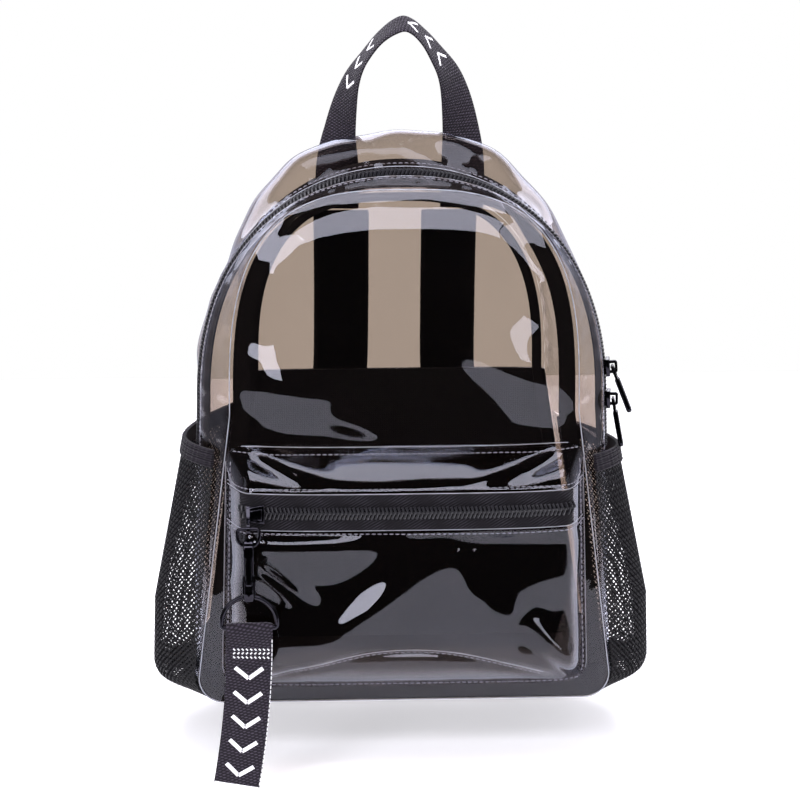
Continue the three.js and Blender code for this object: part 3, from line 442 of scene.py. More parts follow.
def pocket_half(z):
    """Half width of the front pocket at height z."""
    p = POCKET
    up = np.clip((z - p["bottom"]) / (p["zip_top"] - p["bottom"]), 0, 1)
    half = p["half_base"] + (p["half_zip"] - p["half_base"]) * up
    lift = np.clip(z - (p["top"] - p["corner_top"]), 0, p["corner_top"])
    drop = np.clip(p["bottom"] + p["corner_base"] - z, 0, p["corner_base"])
    top_cut = p["corner_top"] - np.sqrt(p["corner_top"] ** 2 - lift ** 2)
    base_cut = p["corner_base"] - np.sqrt(p["corner_base"] ** 2 - drop ** 2)
    return half - top_cut - base_cut


def fold_line(x):
    """Height of the fold over the pocket's lower seam."""
    return FOLD["high"] - FOLD["drop"] * (x / FOLD["half"]) ** 2


def pocket_face(share, z, rumple=True):
    """Inner face of the front pocket at a share of its half width and a height."""
    p = POCKET
    share, z = np.broadcast_arrays(np.asarray(share, float), np.asarray(z, float))
    half = pocket_half(z)
    x = share * half
    rise = ease((p["top"] - z) / p["top_run"]) * ease((z - p["bottom"]) / p["bottom_run"])
    rise = rise * ease((half - np.abs(x)) / p["side_run"])
    y = front_face(x, z) - p["clear"] - p["depth"] * rise
    if rumple:
        off_zip = np.abs(z - POCKET_ZIP_Z) - (p["zip_top"] - POCKET_ZIP_Z) - ZIP_FREE
        free = ease(off_zip / ZIP_HOLD) * ease(rise * 1.6)
        waves = 0.6 * size("ripple") * ripple(x, z, *POCKET_WAVES)
        fold = FOLD["deep"] * np.exp(-((z - fold_line(x)) / FOLD["wide"]) ** 2)
        fold = fold * ease(1.2 - np.abs(x) / FOLD["half"])
        y = y - free * (waves - fold + creases(x, z, POCKET_CREASES))
    return xyz(x, y, z)


def hem_line(side, y):
    """Height of a side pocket's upper edge."""
    top, rise = HEMS[side]
    return top + rise * (y - NET["front"]) / (NET["back"] - NET["front"])


def net_face(side, y, z):
    """Inner face of a side pocket, puffed out from the side."""
    n = NET
    neck = 1 + (n["neck"] - 1) * np.clip((z - n["neck_from"]) / (hem_line(side, y) - n["neck_from"]), 0, 1)
    rise = ease((y - n["front"]) / n["edge_run"]) * ease((n["back"] - y) / n["edge_run"])
    rise = rise * ease((z - n["bottom"]) / n["bottom_run"]) * neck
    return xyz(side * (half_width(y, z) + WALL + n["clear"] + n["depth"] * rise), y, z)


def grid_normals(at, toward):
    """Unit normals of a grid of points, on the side that toward points to."""
    out = unit(np.cross(np.gradient(at, axis=0), np.gradient(at, axis=1)))
    return out * np.sign(np.sum(out * np.asarray(toward, float)))


# Meshes

SHARP_ANGLE = 38.0


class Shape:
    """Points in bag millimetres, faces and cloth coordinates, gathered for one mesh."""

    def __init__(self):
        self.points, self.faces, self.cloth, self.count = [], [], [], 0

    def add(self, points, faces, cloth=None):
        points = np.asarray(points, float).reshape(-1, 3)
        flat = np.zeros((len(points), 2)) if cloth is None else np.asarray(cloth, float).reshape(-1, 2)
        self.points.append(points)
        self.cloth.append(flat)
        for block in faces:
            self.faces += (np.asarray(block) + self.count).tolist()
        self.count += len(points)
        return self


def quads(rows, cols, wrap_rows=False, wrap_cols=False):
    """Faces of a grid of points."""
    r, c = grid(np.arange(rows - (not wrap_rows)), np.arange(cols - (not wrap_cols)))
    r2, c2 = (r + 1) % rows, (c + 1) % cols
    return np.stack([r * cols + c, r2 * cols + c, r2 * cols + c2, r * cols + c2], -1).reshape(-1, 4)


def slab(shape, at, out, outer, inner=0.0, cloth=None, round_loop=False):
    """Adds a closed sheet on a grid of points, from inner to outer along out.

    With round_loop the columns close on themselves and the first row is a small ring that gets a cap.
    """
    rows, cols = at.shape[:2]
    count = rows * cols
    out = np.broadcast_to(np.asarray(out, float), at.shape)
    face = quads(rows, cols, wrap_cols=round_loop)
    if round_loop:
        rim = (rows - 1) * cols + np.arange(cols + 1) % cols
        cap = np.arange(cols)[None, :]
    else:
        index = np.arange(count).reshape(rows, cols)
        rim = np.concatenate([index[0, :-1], index[:-1, -1], index[-1, :0:-1], index[::-1, 0]])[::-1]
    edge = np.stack([rim[:-1], rim[1:], rim[1:] + count, rim[:-1] + count], -1)
    blocks = [face, face[:, ::-1] + count, edge[:, ::-1]]
    if round_loop:
        blocks += [cap, cap[:, ::-1] + count]
    facing = np.sum(np.cross(np.gradient(at, axis=0), np.gradient(at, axis=1)) * out)
    if facing < 0:
        blocks = [block[:, ::-1] for block in blocks]
    both = None if cloth is None else np.concatenate([cloth.reshape(-1, 2)] * 2)
    points = []
    for height in (outer, inner):
        height = np.broadcast_to(np.asarray(height, float), (rows, cols))[..., None]
        points.append((at + out * height).reshape(-1, 3))
    return shape.add(np.concatenate(points), blocks, both)


def tube(shape, path, radius, sides, closed=False, up=(0, 0, 1), flat=1.0):
    """Adds a rod along a path. flat is its height along up as a share of its width."""
    path = np.asarray(path, float)
    rows = len(path)
    if closed:
        along = unit(np.roll(path, -1, axis=0) - np.roll(path, 1, axis=0))
    else:
        along = unit(np.gradient(path, axis=0))
    side = unit(np.cross(along, np.broadcast_to(np.asarray(up, float), path.shape)))
    rise = np.cross(side, along)
    turn = np.linspace(0, 2 * math.pi, sides, endpoint=False)[None, :, None]
    radius = np.broadcast_to(np.asarray(radius, float), (rows,))[:, None, None]
    at = path[:, None] + radius * (np.cos(turn) * side[:, None] + flat * np.sin(turn) * rise[:, None])
    blocks = [quads(rows, sides, wrap_rows=closed, wrap_cols=True)]
    if not closed:
        blocks += [np.arange(sides)[None, :], np.arange(sides)[None, ::-1] + (rows - 1) * sides]
    around = (turn * radius)[..., 0]
    cloth = np.stack(np.broadcast_arrays(run_of(path)[:, None], around), -1)
    return shape.add(at, blocks, cloth)


def repeat(shape, pattern, line, out, places, reach, sunk=0.0):
    """Adds a copy of a small shape at places along a line that lies on a surface with normals out.

    Its x runs along the line, as it lies within reach, and its z along out.
    """
    run = run_of(line)
    ahead, behind = np.minimum(places + reach, run[-1]), np.maximum(places - reach, 0)
    along = unit(on_line(line, ahead) - on_line(line, behind))
    normal = square_to(read_rows(places, run, np.broadcast_to(out, line.shape)), along)
    ways = (along, np.cross(normal, along), normal)
    points = np.concatenate(pattern.points)
    at = (on_line(line, places) - normal * sunk)[:, None]
    for axis, way in enumerate(ways):
        at = at + points[None, :, [axis]] * way[:, None]
    faces = {}
    for face in pattern.faces:
        faces.setdefault(len(face), []).append(face)
    starts = np.arange(len(places))[:, None, None] * len(points)
    blocks = [(np.array(block)[None] + starts).reshape(-1, corners) for corners, block in faces.items()]
    return shape.add(at, blocks)


def sew(shape, line, out):
    """Adds a row of stitches along a line that lies on a surface with normals out."""
    stitch, pitch, thick = size("stitch"), size("stitch_pitch"), size("thread") / 2
    ends = np.linspace(-0.5, 0.5, 5)
    bow = thick * (0.75 - 3 * ends ** 2)
    pattern = tube(Shape(), xyz(ends * stitch, 0, bow), thick * np.sqrt(1.15 - 4 * ends ** 2), 6)
    places = np.arange(pitch / 2, run_of(line)[-1], pitch)
    return repeat(shape, pattern, line, out, places, reach=0.6, sunk=0.1)


def edge_highlight(shape, line, out):
    """Adds a pale line along a line on a surface with normals out: a cut edge of the film, or the fold's lip,
    drawn as a painted highlight.
    """
    return tube(shape, line - out * 0.2, 0.25, 6, up=out)


def placer(origin, *ways):
    """Gives a function that maps the points of a plate to the bag by an origin and three directions."""
    return lambda points: origin + sum(points[:, [axis]] * way for axis, way in enumerate(ways))


def plate(shape, loops, half, bevel, place):
    """Adds a flat plate with rounded edges inside an outline and round holes. place maps it to the bag."""
    curve = bpy.data.curves.new("plate", "CURVE")
    curve.dimensions, curve.fill_mode = "2D", "BOTH"
    curve.extrude, curve.bevel_depth, curve.bevel_resolution, curve.offset = half - bevel, bevel, 2, -bevel
    for loop in loops:
        spline = curve.splines.new("POLY")
        spline.points.add(len(loop) - 1)
        for point, (a, b) in zip(spline.points, loop):
            point.co = (a, b, 0, 1)
        spline.use_cyclic_u = True
    holder = bpy.data.objects.new("plate", curve)
    mesh = bpy.data.meshes.new_from_object(holder)
    weld = bmesh.new()
    weld.from_mesh(mesh)
    bmesh.ops.remove_doubles(weld, verts=weld.verts, dist=1e-3)
    bmesh.ops.recalc_face_normals(weld, faces=weld.faces)
    points = np.array([v.co for v in weld.verts])
    faces = [[[v.index for v in face.verts]] for face in weld.faces]
    weld.free()
    bpy.data.meshes.remove(mesh)
    bpy.data.curves.remove(curve)
    return shape.add(place(points), faces)


def arc(middle, radius, start, end, steps):
    """Points of an arc in a plane, in degrees."""
    turn = np.radians(np.linspace(start, end, steps + 1))
    return [(middle[0] + radius * math.cos(t), middle[1] + radius * math.sin(t)) for t in turn]


def box_loop(a0, a1, b0, b1):
    """A rectangle's corners."""
    return [(a0, b0), (a1, b0), (a1, b1), (a0, b1)]


def make(name, shape, material, nodes=(), body="bag"):
    """Turns a shape into a piece that rides on a body and stands for CAD nodes."""
    mesh = bpy.data.meshes.new(name)
    points = (np.concatenate(shape.points) - HANG_POINT) * MM
    mesh.from_pydata(points.tolist(), [], shape.faces)
    mesh.validate()
    corners = np.zeros(len(mesh.loops), np.int32)
    mesh.loops.foreach_get("vertex_index", corners)
    layer = mesh.uv_layers.new(name="cloth")
    layer.data.foreach_set("uv", np.concatenate(shape.cloth)[corners].astype(np.float32).ravel())
    mesh.shade_smooth()
    mesh.set_sharp_from_angle(angle=math.radians(SHARP_ANGLE))
    mesh.materials.append(material)
    piece = bpy.data.objects.new(name, mesh)
    bpy.context.scene.collection.objects.link(piece)
    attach(piece, body)
    if nodes:
        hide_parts(*nodes)
    return piece


class Ribbon:
    """Webbing along a route: gives points by length along it, distance across it and height off it."""

    def __init__(self, route, across, count):
        self.line = spaced(np.asarray(route, float), count)
        self.run = run_of(self.line)
        self.length = self.run[-1]
        along = unit(np.gradient(self.line, axis=0))
        self.across = square_to(np.broadcast_to(np.asarray(across, float), self.line.shape), along)
        self.out = np.cross(along, self.across)

    def at(self, along, across, height):
        along, across, height = np.broadcast_arrays(along, across, height)
        middle = read_rows(along, self.run, self.line)
        aside = across[..., None] * unit(read_rows(along, self.run, self.across))
        return middle + aside + height[..., None] * self.normal(along)

    def normal(self, along):
        return unit(read_rows(along, self.run, self.out))

    def slab(self, shape, width, outer, cols=9):
        """Adds the webbing itself. outer is a thickness or a function of the shares along and across."""
        along, across = grid(self.run, np.linspace(-0.5, 0.5, cols) * width)
        if callable(outer):
            thick = outer(along / self.length, across / width + 0.5)
        else:
            thick = outer * (1 - 0.4 * np.abs(across / width * 2) ** 10)
        cloth = np.stack([along, across], -1)
        return slab(shape, self.at(along, across, 0), self.normal(along), thick, 0, cloth)

    def stroke(self, shape, start, end, width, height, thick):
        """Adds a flat printed or sewn bar between two places on the webbing."""
        start, end = np.array(start, float), np.array(end, float)
        aside = unit(np.array((start[1] - end[1], end[0] - start[0]))) * width / 2
        t, s = grid(np.linspace(0, 1, 7), np.linspace(-1, 1, 3))
        flat = start + t[..., None] * (end - start) + s[..., None] * aside
        along = flat[..., 0]
        return slab(shape, self.at(along, flat[..., 1], height), self.normal(along), thick, 0, flat)


# Materials

WAVE_TURN = 0.314  # a wave texture repeats every 0.314 units at scale 1
# How much a film face mirrors straight on, and the larger share of paths that carries it for an even haze
FILM_MIRROR, FILM_SHARE = 0.024, 0.075
FILM_GLOSS = (0.82, 0.86, 1.0, 1.0)
# Size in millimetres and detail of the film's slow shades, its waviness and its scuffs
FILM_GRAINS = ((55.0, 2.0), (16.0, 1.0), (5.0, 4.0))


def node(tree, kind, inputs=None, **settings):
    """Adds a shader node with its settings, and sets or links its inputs."""
    made = tree.nodes.new(kind)
    for name, value in settings.items():
        setattr(made, name, value)
    for name, value in (inputs or {}).items():
        if isinstance(value, bpy.types.NodeSocket):
            tree.links.new(value, made.inputs[name])
        else:
            made.inputs[name].default_value = value
    return made


def material(name, paint):
    """The material of that name, painted on its first use."""
    found = bpy.data.materials.get(name)
    if found is None:
        found = bpy.data.materials.new(name)
        found.use_nodes = True
        found.node_tree.nodes.clear()
        surface = paint(found.node_tree)
        node(found.node_tree, "ShaderNodeOutputMaterial", {"Surface": surface})
    return found


def per_mm(millimetres):
    """Texture scale, in object coordinates, of a pattern of that size."""
    return 1 / (millimetres * MM)


def dimmed(rgba, share):
    """A colour made darker or lighter."""
    return tuple(min(1.0, value * share) for value in rgba[:3]) + (1.0,)


def grained(name, shade, grain, shares, finish, bump=None, rub=None):
    """A material of one colour with an even grain in it.

    grain is its size in millimetres and its detail, shares are how dark and light it makes the colour,
    bump is its strength and depth, rub the roughness at both ends, and finish the other shader values.
    """
    def paint(tree):
        place = node(tree, "ShaderNodeTexCoord").outputs["Object"]
        inputs = {"Vector": place, "Scale": per_mm(grain[0]), "Detail": grain[1]}
        fleck_and_highlight = node(tree, "ShaderNodeTexNoise", inputs).outputs["Fac"]
        inputs = {0: fleck_and_highlight, 6: dimmed(shade, shares[0]), 7: dimmed(shade, shares[1])}
        surface = {"Base Color": node(tree, "ShaderNodeMix", inputs, data_type="RGBA").outputs[2], **finish}
        if bump:
            inputs = {"Height": fleck_and_highlight, "Strength": bump[0], "Distance": bump[1] * MM}
            surface["Normal"] = node(tree, "ShaderNodeBump", inputs).outputs[0]
        if rub:
            inputs = {"Value": fleck_and_highlight, "To Min": rub[0], "To Max": rub[1]}
            surface["Roughness"] = node(tree, "ShaderNodeMapRange", inputs).outputs[0]
        return node(tree, "ShaderNodeBsdfPrincipled", surface).outputs[0]

    return material(name, paint)


def clear_film():
    """Calendered soft vinyl film, smoked: a clear brownish tint, a hard mirror gloss and slow unevenness."""
    def paint(tree):
        tint = dimmed(tone("film"), (1 - FILM_MIRROR) / (1 - FILM_SHARE))
        place = node(tree, "ShaderNodeTexCoord").outputs["Object"]
        noises = []
        for wide, detail in FILM_GRAINS:
            inputs = {"Vector": place, "Scale": per_mm(wide), "Detail": detail}
            noises.append(node(tree, "ShaderNodeTexNoise", inputs).outputs["Fac"])
        cloud, wavy, scuff = noises
        ends = {0: cloud, 6: tint, 7: dimmed(tint, 0.965)}
        uneven = node(tree, "ShaderNodeMix", ends, data_type="RGBA").outputs[2]
        inputs = {"Height": wavy, "Strength": 0.1, "Distance": 1.2 * MM}
        bump = node(tree, "ShaderNodeBump", inputs).outputs[0]
        rough = node(tree, "ShaderNodeMapRange", {"Value": scuff, "To Min": 0.0, "To Max": 0.035}).outputs[0]
        through = node(tree, "ShaderNodeBsdfTransparent", {"Color": uneven}).outputs[0]
        mirrors = []
        for gloss in (dimmed(FILM_GLOSS, FILM_MIRROR / FILM_SHARE), FILM_GLOSS):
            inputs = {"Color": gloss, "Roughness": rough, "Normal": bump}
            mirrors.append(node(tree, "ShaderNodeBsdfGlossy", inputs).outputs[0])
        front = node(tree, "ShaderNodeMixShader", {0: FILM_SHARE, 1: through, 2: mirrors[0]}).outputs[0]
        facing = node(tree, "ShaderNodeLayerWeight", {"Blend": 0.5, "Normal": bump}).outputs["Facing"]
        edge = node(tree, "ShaderNodeMath", {0: facing, 1: 5.0}, operation="POWER").outputs[0]
        return node(tree, "ShaderNodeMixShader", {0: edge, 1: front, 2: mirrors[1]}).outputs[0]

    return material("calendered smoked vinyl film", paint)


def painted_edge_highlight():
    """Knife-cut edge of the film, painted as a pale frosted line: a painted highlight for the light that the
    edge gathers.
    """
    finish = {"Roughness": 0.3, "IOR": 1.53, "Alpha": 0.7}
    return grained("cut vinyl edge", tone("edge_highlight"), (7, 3.0), (0.25, 1.0), finish)


def woven(name, yarn_tone, spacing, slants, depth, fleck_and_highlight, sheen=0.04):
    """Woven or knitted yarn: rows of thread at slants with random slubs, painted lighter on the thread crowns
    and darker between the threads (a painted highlight and a painted shade), with a soft sheen.
    """
    def paint(tree):
        flat = node(tree, "ShaderNodeUVMap", uv_map="cloth").outputs[0]
        waves = []
        for slant in slants:
            inputs = {"Vector": flat, "Rotation": (0, 0, math.radians(slant))}
            turned = node(tree, "ShaderNodeMapping", inputs).outputs[0]
            inputs = {"Vector": turned, "Scale": WAVE_TURN / spacing, "Distortion": 0.6, "Detail": 1.0}
            waves.append(node(tree, "ShaderNodeTexWave", inputs).outputs["Fac"])
        yarn = node(tree, "ShaderNodeMath", {0: waves[0], 1: waves[-1]}, operation="MULTIPLY").outputs[0]
        inputs = {"Vector": flat, "Scale": 1 / (2.2 * spacing), "Detail": 3.0}
        slub = node(tree, "ShaderNodeTexNoise", inputs).outputs["Fac"]
        # The colour follows the threads' relief: crowns are painted lighter, a painted highlight, and the
        # gaps between threads darker, a painted shade; the slubs add random tone.
        light = node(tree, "ShaderNodeMath", {0: yarn, 1: slub}, operation="MULTIPLY").outputs[0]
        inputs = {0: light, 6: dimmed(yarn_tone, 0.4), 7: dimmed(yarn_tone, fleck_and_highlight)}
        shade = node(tree, "ShaderNodeMix", inputs, data_type="RGBA").outputs[2]
        inputs = {"Height": yarn, "Strength": 0.8, "Distance": depth * MM}
        bump = node(tree, "ShaderNodeBump", inputs).outputs[0]
        return node(tree, "ShaderNodeBsdfPrincipled", {
            "Base Color": shade, "Roughness": 0.75, "Sheen Weight": sheen, "Sheen Roughness": 0.4,
            "Specular IOR Level": 0.12, "Normal": bump,
        }).outputs[0]

    return material(name, paint)


def black_cloth():
    """Plain-woven polyester. Its 0.5 mm threads are drawn 1.3 mm apart so that they show from near by."""
    return woven("plain woven polyester", tone("cloth"), 1.3, (0, 90), 0.05, 1.2)


def black_webbing():
    """Flat-woven nylon webbing. Its 0.8 mm ribs are drawn 1.6 mm apart so that they show."""
    return woven("flat woven nylon webbing", tone("webbing"), 1.6, (8, -38), 0.5, 5.5, sheen=0.1)


def ribbed_elastic():
    """Knitted elastic: close rows of dark yarn along the hem's ribs."""
    return woven("ribbed knit elastic", tone("webbing"), 1.3, (90, 88), 0.2, 2.0, sheen=0.1)


def zip_tape():
    """Twill-woven zip tape with slanting ribs, drawn 1.4 mm apart so that they show."""
    return woven("twill woven zip tape", tone("tape"), 1.4, (62, 58), 0.25, 4.0, sheen=0.06)


def plain_yarn(name, shade, rough, gloss):
    """Twisted yarn, print or moulded nylon: a soft glint that varies along it."""
    finish = {"Roughness": rough, "Specular IOR Level": gloss}
    return grained(name, shade, (0.9, 2.0), (0.6, 1.7), finish, bump=(0.5, 0.2))


def nylon_coil():
    """Moulded nylon teeth: near black with a plastic glint on each turn of the coil."""
    return plain_yarn("moulded nylon coil", tone("coil"), 0.34, 0.35)


def knitted_net():
    """Knitted polyester net: near black, almost matt."""
    return plain_yarn("knitted polyester net", tone("net"), 0.4, 0.14)


def printed_ink():
    """Screen printed ink: pale, dull and a little uneven over the weave."""
    return plain_yarn("screen printed ink", tone("pale"), 0.55, 0.3)


def glint_painted_thread():
    """Bonded polyester sewing thread, black but painted dark grey as a painted highlight for its glints, with
    a waxy gloss.
    """
    return plain_yarn("bonded polyester thread", tone("thread"), 0.3, 0.5)


def pale_thread():
    """Bonded polyester sewing thread, pale and a little duller."""
    return plain_yarn("bonded polyester thread, pale", tone("pale"), 0.5, 0.3)


def plated_metal():
    """Die-cast zinc, black plated: dark and mirror bright, a little orange-peeled, worn paler in spots."""
    name, finish = "black plated die-cast zinc", {"Metallic": 1.0}
    return grained(name, tone("metal"), (3, 3.0), (0.8, 1.7), finish, bump=(0.15, 0.3), rub=(0.06, 0.15))


def moulded_plastic():
    """Injection-moulded acetal: near black, satin, with a fine spark-eroded grain."""
    finish = {"Roughness": 0.42, "IOR": 1.48}
    return grained("moulded acetal", tone("plastic"), (0.8, 2.0), (0.7, 1.5), finish, bump=(0.3, 0.2))


def paper_floor():
    """Matt white paper that glows a little, so that no horizon shows."""
    finish = {"Roughness": 0.85, "Emission Color": tone("floor"), "Emission Strength": 0.45}
    return grained("matt white paper", tone("floor"), (4, 2.0), (0.98, 1.0), finish)


# Stage: the photograph's camera, and a white table in a dark room with a bright wall low behind it

AIM = (0.0, 0.0, 150.0)
CAMERA_TURN, CAMERA_RISE, CAMERA_REACH = -2.7, 14.0, 1700.0
SENSOR, VIEW_WIDTH, IMAGE_SIZE, AIM_DOWN = 36.0, 452.0, 800.0, 15.5
# The table ends in front of the bag, so that its upright film mirrors the dark room there
FLOOR_Z, FLOOR_HALF, FLOOR_FRONT, FLOOR_BACK = -40.0, 750.0, -400.0, 900.0
LIGHT_TONE, ROOM_TONE, WHITE = (0.94, 0.93, 1.0), (0.9, 0.89, 1.0, 1.0), (1.0, 1.0, 1.0, 1.0)
# The wall glows by how far back (Y) and how low (Z) a ray goes: from where to where, and from what to what
WALL_GLOW = (("Y", -0.1, 0.35, 0.0, 0.5), ("Z", 0.3, 0.36, 1.0, 0.05))
ROOM_GLOW = 0.03
FILM_LAYERS = 40
# Place, aim, width, height, strength, and whether the gloss mirrors the light
SOFT_LIGHTS = (
    ("fill", (0.0, -420.0, 1250.0), (0.0, 0.0, 150.0), 1.1, 0.8, 15.0, False),
    ("overhead", (0.0, -150.0, 1250.0), (0.0, -60.0, 140.0), 1.1, 0.5, 14.0, True),
    ("front", (0.0, -1500.0, 1150.0), (0.0, 0.0, 150.0), 1.6, 0.4, 18.0, True),
    ("front_left", (-900.0, -1300.0, 700.0), (0.0, 0.0, 150.0), 0.4, 0.9, 13.0, True),
    ("front_right", (900.0, -1300.0, 700.0), (0.0, 0.0, 150.0), 0.35, 0.9, 7.0, True),
    ("left", (-1250.0, -100.0, 420.0), (0.0, -40.0, 140.0), 0.4, 1.1, 1.7, True),
    ("right", (1250.0, -100.0, 420.0), (0.0, -40.0, 140.0), 0.4, 1.1, 1.7, True),
    ("back", (0.0, 1200.0, 640.0), (0.0, 60.0, 250.0), 3.0, 0.4, 8.5, True),
    ("back_high", (0.0, 650.0, 1250.0), (0.0, -10.0, 300.0), 1.4, 0.32, 3.0, True),
)


def in_frame(point):
    """A point in bag millimetres as a vector of the frame, in metres."""
    return Vector((np.asarray(point, float) - HANG_POINT) * MM)


class BACKPACK_OT_stage(bpy.types.Operator):
    """Sets the camera, the soft lights, the room and the paper floor"""

    bl_idname = "backpack.stage"
    bl_label = "Stage"

    def execute(self, context):
        scene = context.scene
        turn, rise = math.radians(CAMERA_TURN), math.radians(CAMERA_RISE)
        back = Vector((math.sin(turn) * math.cos(rise), -math.cos(turn) * math.cos(rise), math.sin(rise)))
        data = bpy.data.cameras.new("camera")
        data.sensor_width = SENSOR
        data.lens = SENSOR * CAMERA_REACH / VIEW_WIDTH
        data.shift_y = AIM_DOWN / IMAGE_SIZE
        camera = bpy.data.objects.new("camera", data)
        camera.location = in_frame(AIM) + back * CAMERA_REACH * MM
        camera.rotation_euler = back.to_track_quat("Z", "Y").to_euler()
        scene.collection.objects.link(camera)
        scene.camera = camera
        for name, place, aim, width, tall, watts, mirrored in SOFT_LIGHTS:
            lamp = bpy.data.lights.new(name, "AREA")
            lamp.shape, lamp.size, lamp.size_y, lamp.energy = "RECTANGLE", width, tall, watts
            lamp.color = LIGHT_TONE
            holder = bpy.data.objects.new(name, lamp)
            holder.location = in_frame(place)
            holder.rotation_euler = (in_frame(place) - in_frame(aim)).to_track_quat("Z", "Y").to_euler()
            holder.visible_camera, holder.visible_glossy = False, mirrored
            scene.collection.objects.link(holder)
        self.light_room(scene)
        floor = bpy.data.meshes.new("floor")
        corners = box_loop(-FLOOR_HALF, FLOOR_HALF, FLOOR_FRONT, FLOOR_BACK)
        floor.from_pydata([in_frame((*corner, FLOOR_Z)) for corner in corners], [], [range(4)])
        floor.materials.append(paper_floor())
        paper = bpy.data.objects.new("floor", floor)
        scene.collection.objects.link(paper)
        scene.view_settings.view_transform = "Standard"
        scene.cycles.transparent_max_bounces = FILM_LAYERS
        return {"FINISHED"}

    def light_room(self, scene):
        """White wall behind the bag, dark room in front of it, plain white where the camera looks past it."""
        world = bpy.data.worlds.new("room")
        scene.world = world
        world.use_nodes = True
        tree = world.node_tree
        tree.nodes.clear()
        way = node(tree, "ShaderNodeSeparateXYZ", {0: node(tree, "ShaderNodeTexCoord").outputs["Generated"]})
        glows = {2: ROOM_GLOW}
        for i, (axis, start, end, first, last) in enumerate(WALL_GLOW):
            ends = {"From Min": start, "From Max": end, "To Min": first, "To Max": last}
            ends["Value"] = way.outputs[axis]
            glows[i] = node(tree, "ShaderNodeMapRange", ends, interpolation_type="SMOOTHSTEP").outputs[0]
        wall = node(tree, "ShaderNodeMath", glows, operation="MULTIPLY_ADD").outputs[0]
        room = node(tree, "ShaderNodeBackground", {"Color": ROOM_TONE, "Strength": wall}).outputs[0]
        white = node(tree, "ShaderNodeBackground", {"Color": WHITE, "Strength": 1.0}).outputs[0]
        seen = node(tree, "ShaderNodeLightPath").outputs["Is Camera Ray"]
        both = node(tree, "ShaderNodeMixShader", {0: seen, 1: room, 2: white}).outputs[0]
        node(tree, "ShaderNodeOutputWorld", {"Surface": both})


def disc(loop, middle_z, rings, face, out, outer, inner):
    """A panel inside a closed outline, drawn as rings round a middle so that its rows follow the edge."""
    middle = np.array((0.0, middle_z))
    flat = middle + np.linspace(0.02, 1, rings)[:, None, None] * (loop[None] - middle)
    x, z = flat[..., 0], flat[..., 1]
    return slab(Shape(), xyz(x, face(x, z), z), out, outer, inner, flat, round_loop=True)


def gusset(low, high, cols, seed, rippled, dip):
    """A film strip of the dome, rippled in its middle, puckered at its edges, dipped behind the first one."""
    at, out = arch_grid(np.linspace(low, high, cols), ZIP_END_Z, 260)
    run = np.linspace(0, run_of(at[:, 0])[-1], at.shape[0])[:, None]
    y = at[..., 1]
    edge = np.minimum(y - low, high - y)
    wave = size("ripple") * rippled * ripple(run, y * 0.9, GUSSET_WAVE, seed) * ease(edge / GUSSET_HOLD)
    wander = np.random.default_rng(seed).uniform(20, 30)
    pleats = np.sin(2 * math.pi * run / PUCKER["pitch"] + 2 * np.sin(run / wander))
    pucker = size("pucker") * np.exp(-((edge - PUCKER["at"]) / PUCKER["half"]) ** 2) * pleats
    share = (y - low) / (high - low)
    sag = dip * np.sin(math.pi * np.clip(share / 0.8, 0, 1)) * ease(edge / PUCKER["at"])
    return slab(Shape(), at + out * (wave + pucker - sag)[..., None], out, size("film"))


class BACKPACK_OT_film_body(bpy.types.Operator):
    """Builds the clear panels of the body"""

    bl_idname = "backpack.film_body"
    bl_label = "Film body"

    def execute(self, context):
        film, thick = clear_film(), size("film")
        shape = disc(outline(FRONT_Y, 360), 150.0, 64, rumpled_front, (0, -1, 0), 0, -thick)
        make("front_film", shape, film, ["front_panel"])
        loop = outline(BACK_Y, 240, low=CLOTH_TOP_Z + SEAM_GAP)
        shape = disc(loop, 205.0, 36, back_face, (0, 1, 0), 0, -thick)
        make("back_film", shape, film, ["back_panel_upper"])
        shape = gusset(FRONT_Y + SEAM_GAP, ZIP["y"] - ZIP["open"], 14, seed=5, rippled=0.4, dip=1.3)
        make("gusset_front_film", shape, film, ["gusset_front"])
        shape = gusset(ZIP["y"] + ZIP["open"], BACK_Y - SEAM_GAP, 36, seed=8, rippled=1.7, dip=0.0)
        make("gusset_back_film", shape, film, ["gusset_back"])
        depths = np.linspace(FRONT_Y + SEAM_GAP, BACK_Y - SEAM_GAP, 40)
        heights = np.linspace(CORNER_RADIUS + SEAM_GAP, ZIP_END_Z - SEAM_GAP, 40)
        y, z = grid(depths, heights)
        rims = (y - depths[0], depths[-1] - y, z - heights[0], heights[-1] - z)
        hold = np.prod([ease(rim / SIDE_HOLD) for rim in rims], axis=0)
        for label, side in LEFT_RIGHT:
            x = side * (half_width(y, z) - hold * (0.6 + 0.5 * ripple(y, z, SIDE_WAVE, SIDE_SEED + side)))
            shape = slab(Shape(), xyz(x, y, z), (side, 0, 0), thick)
            make(f"side_film_{label}", shape, film, [f"side_panel_{label}"])
        return {"FINISHED"}


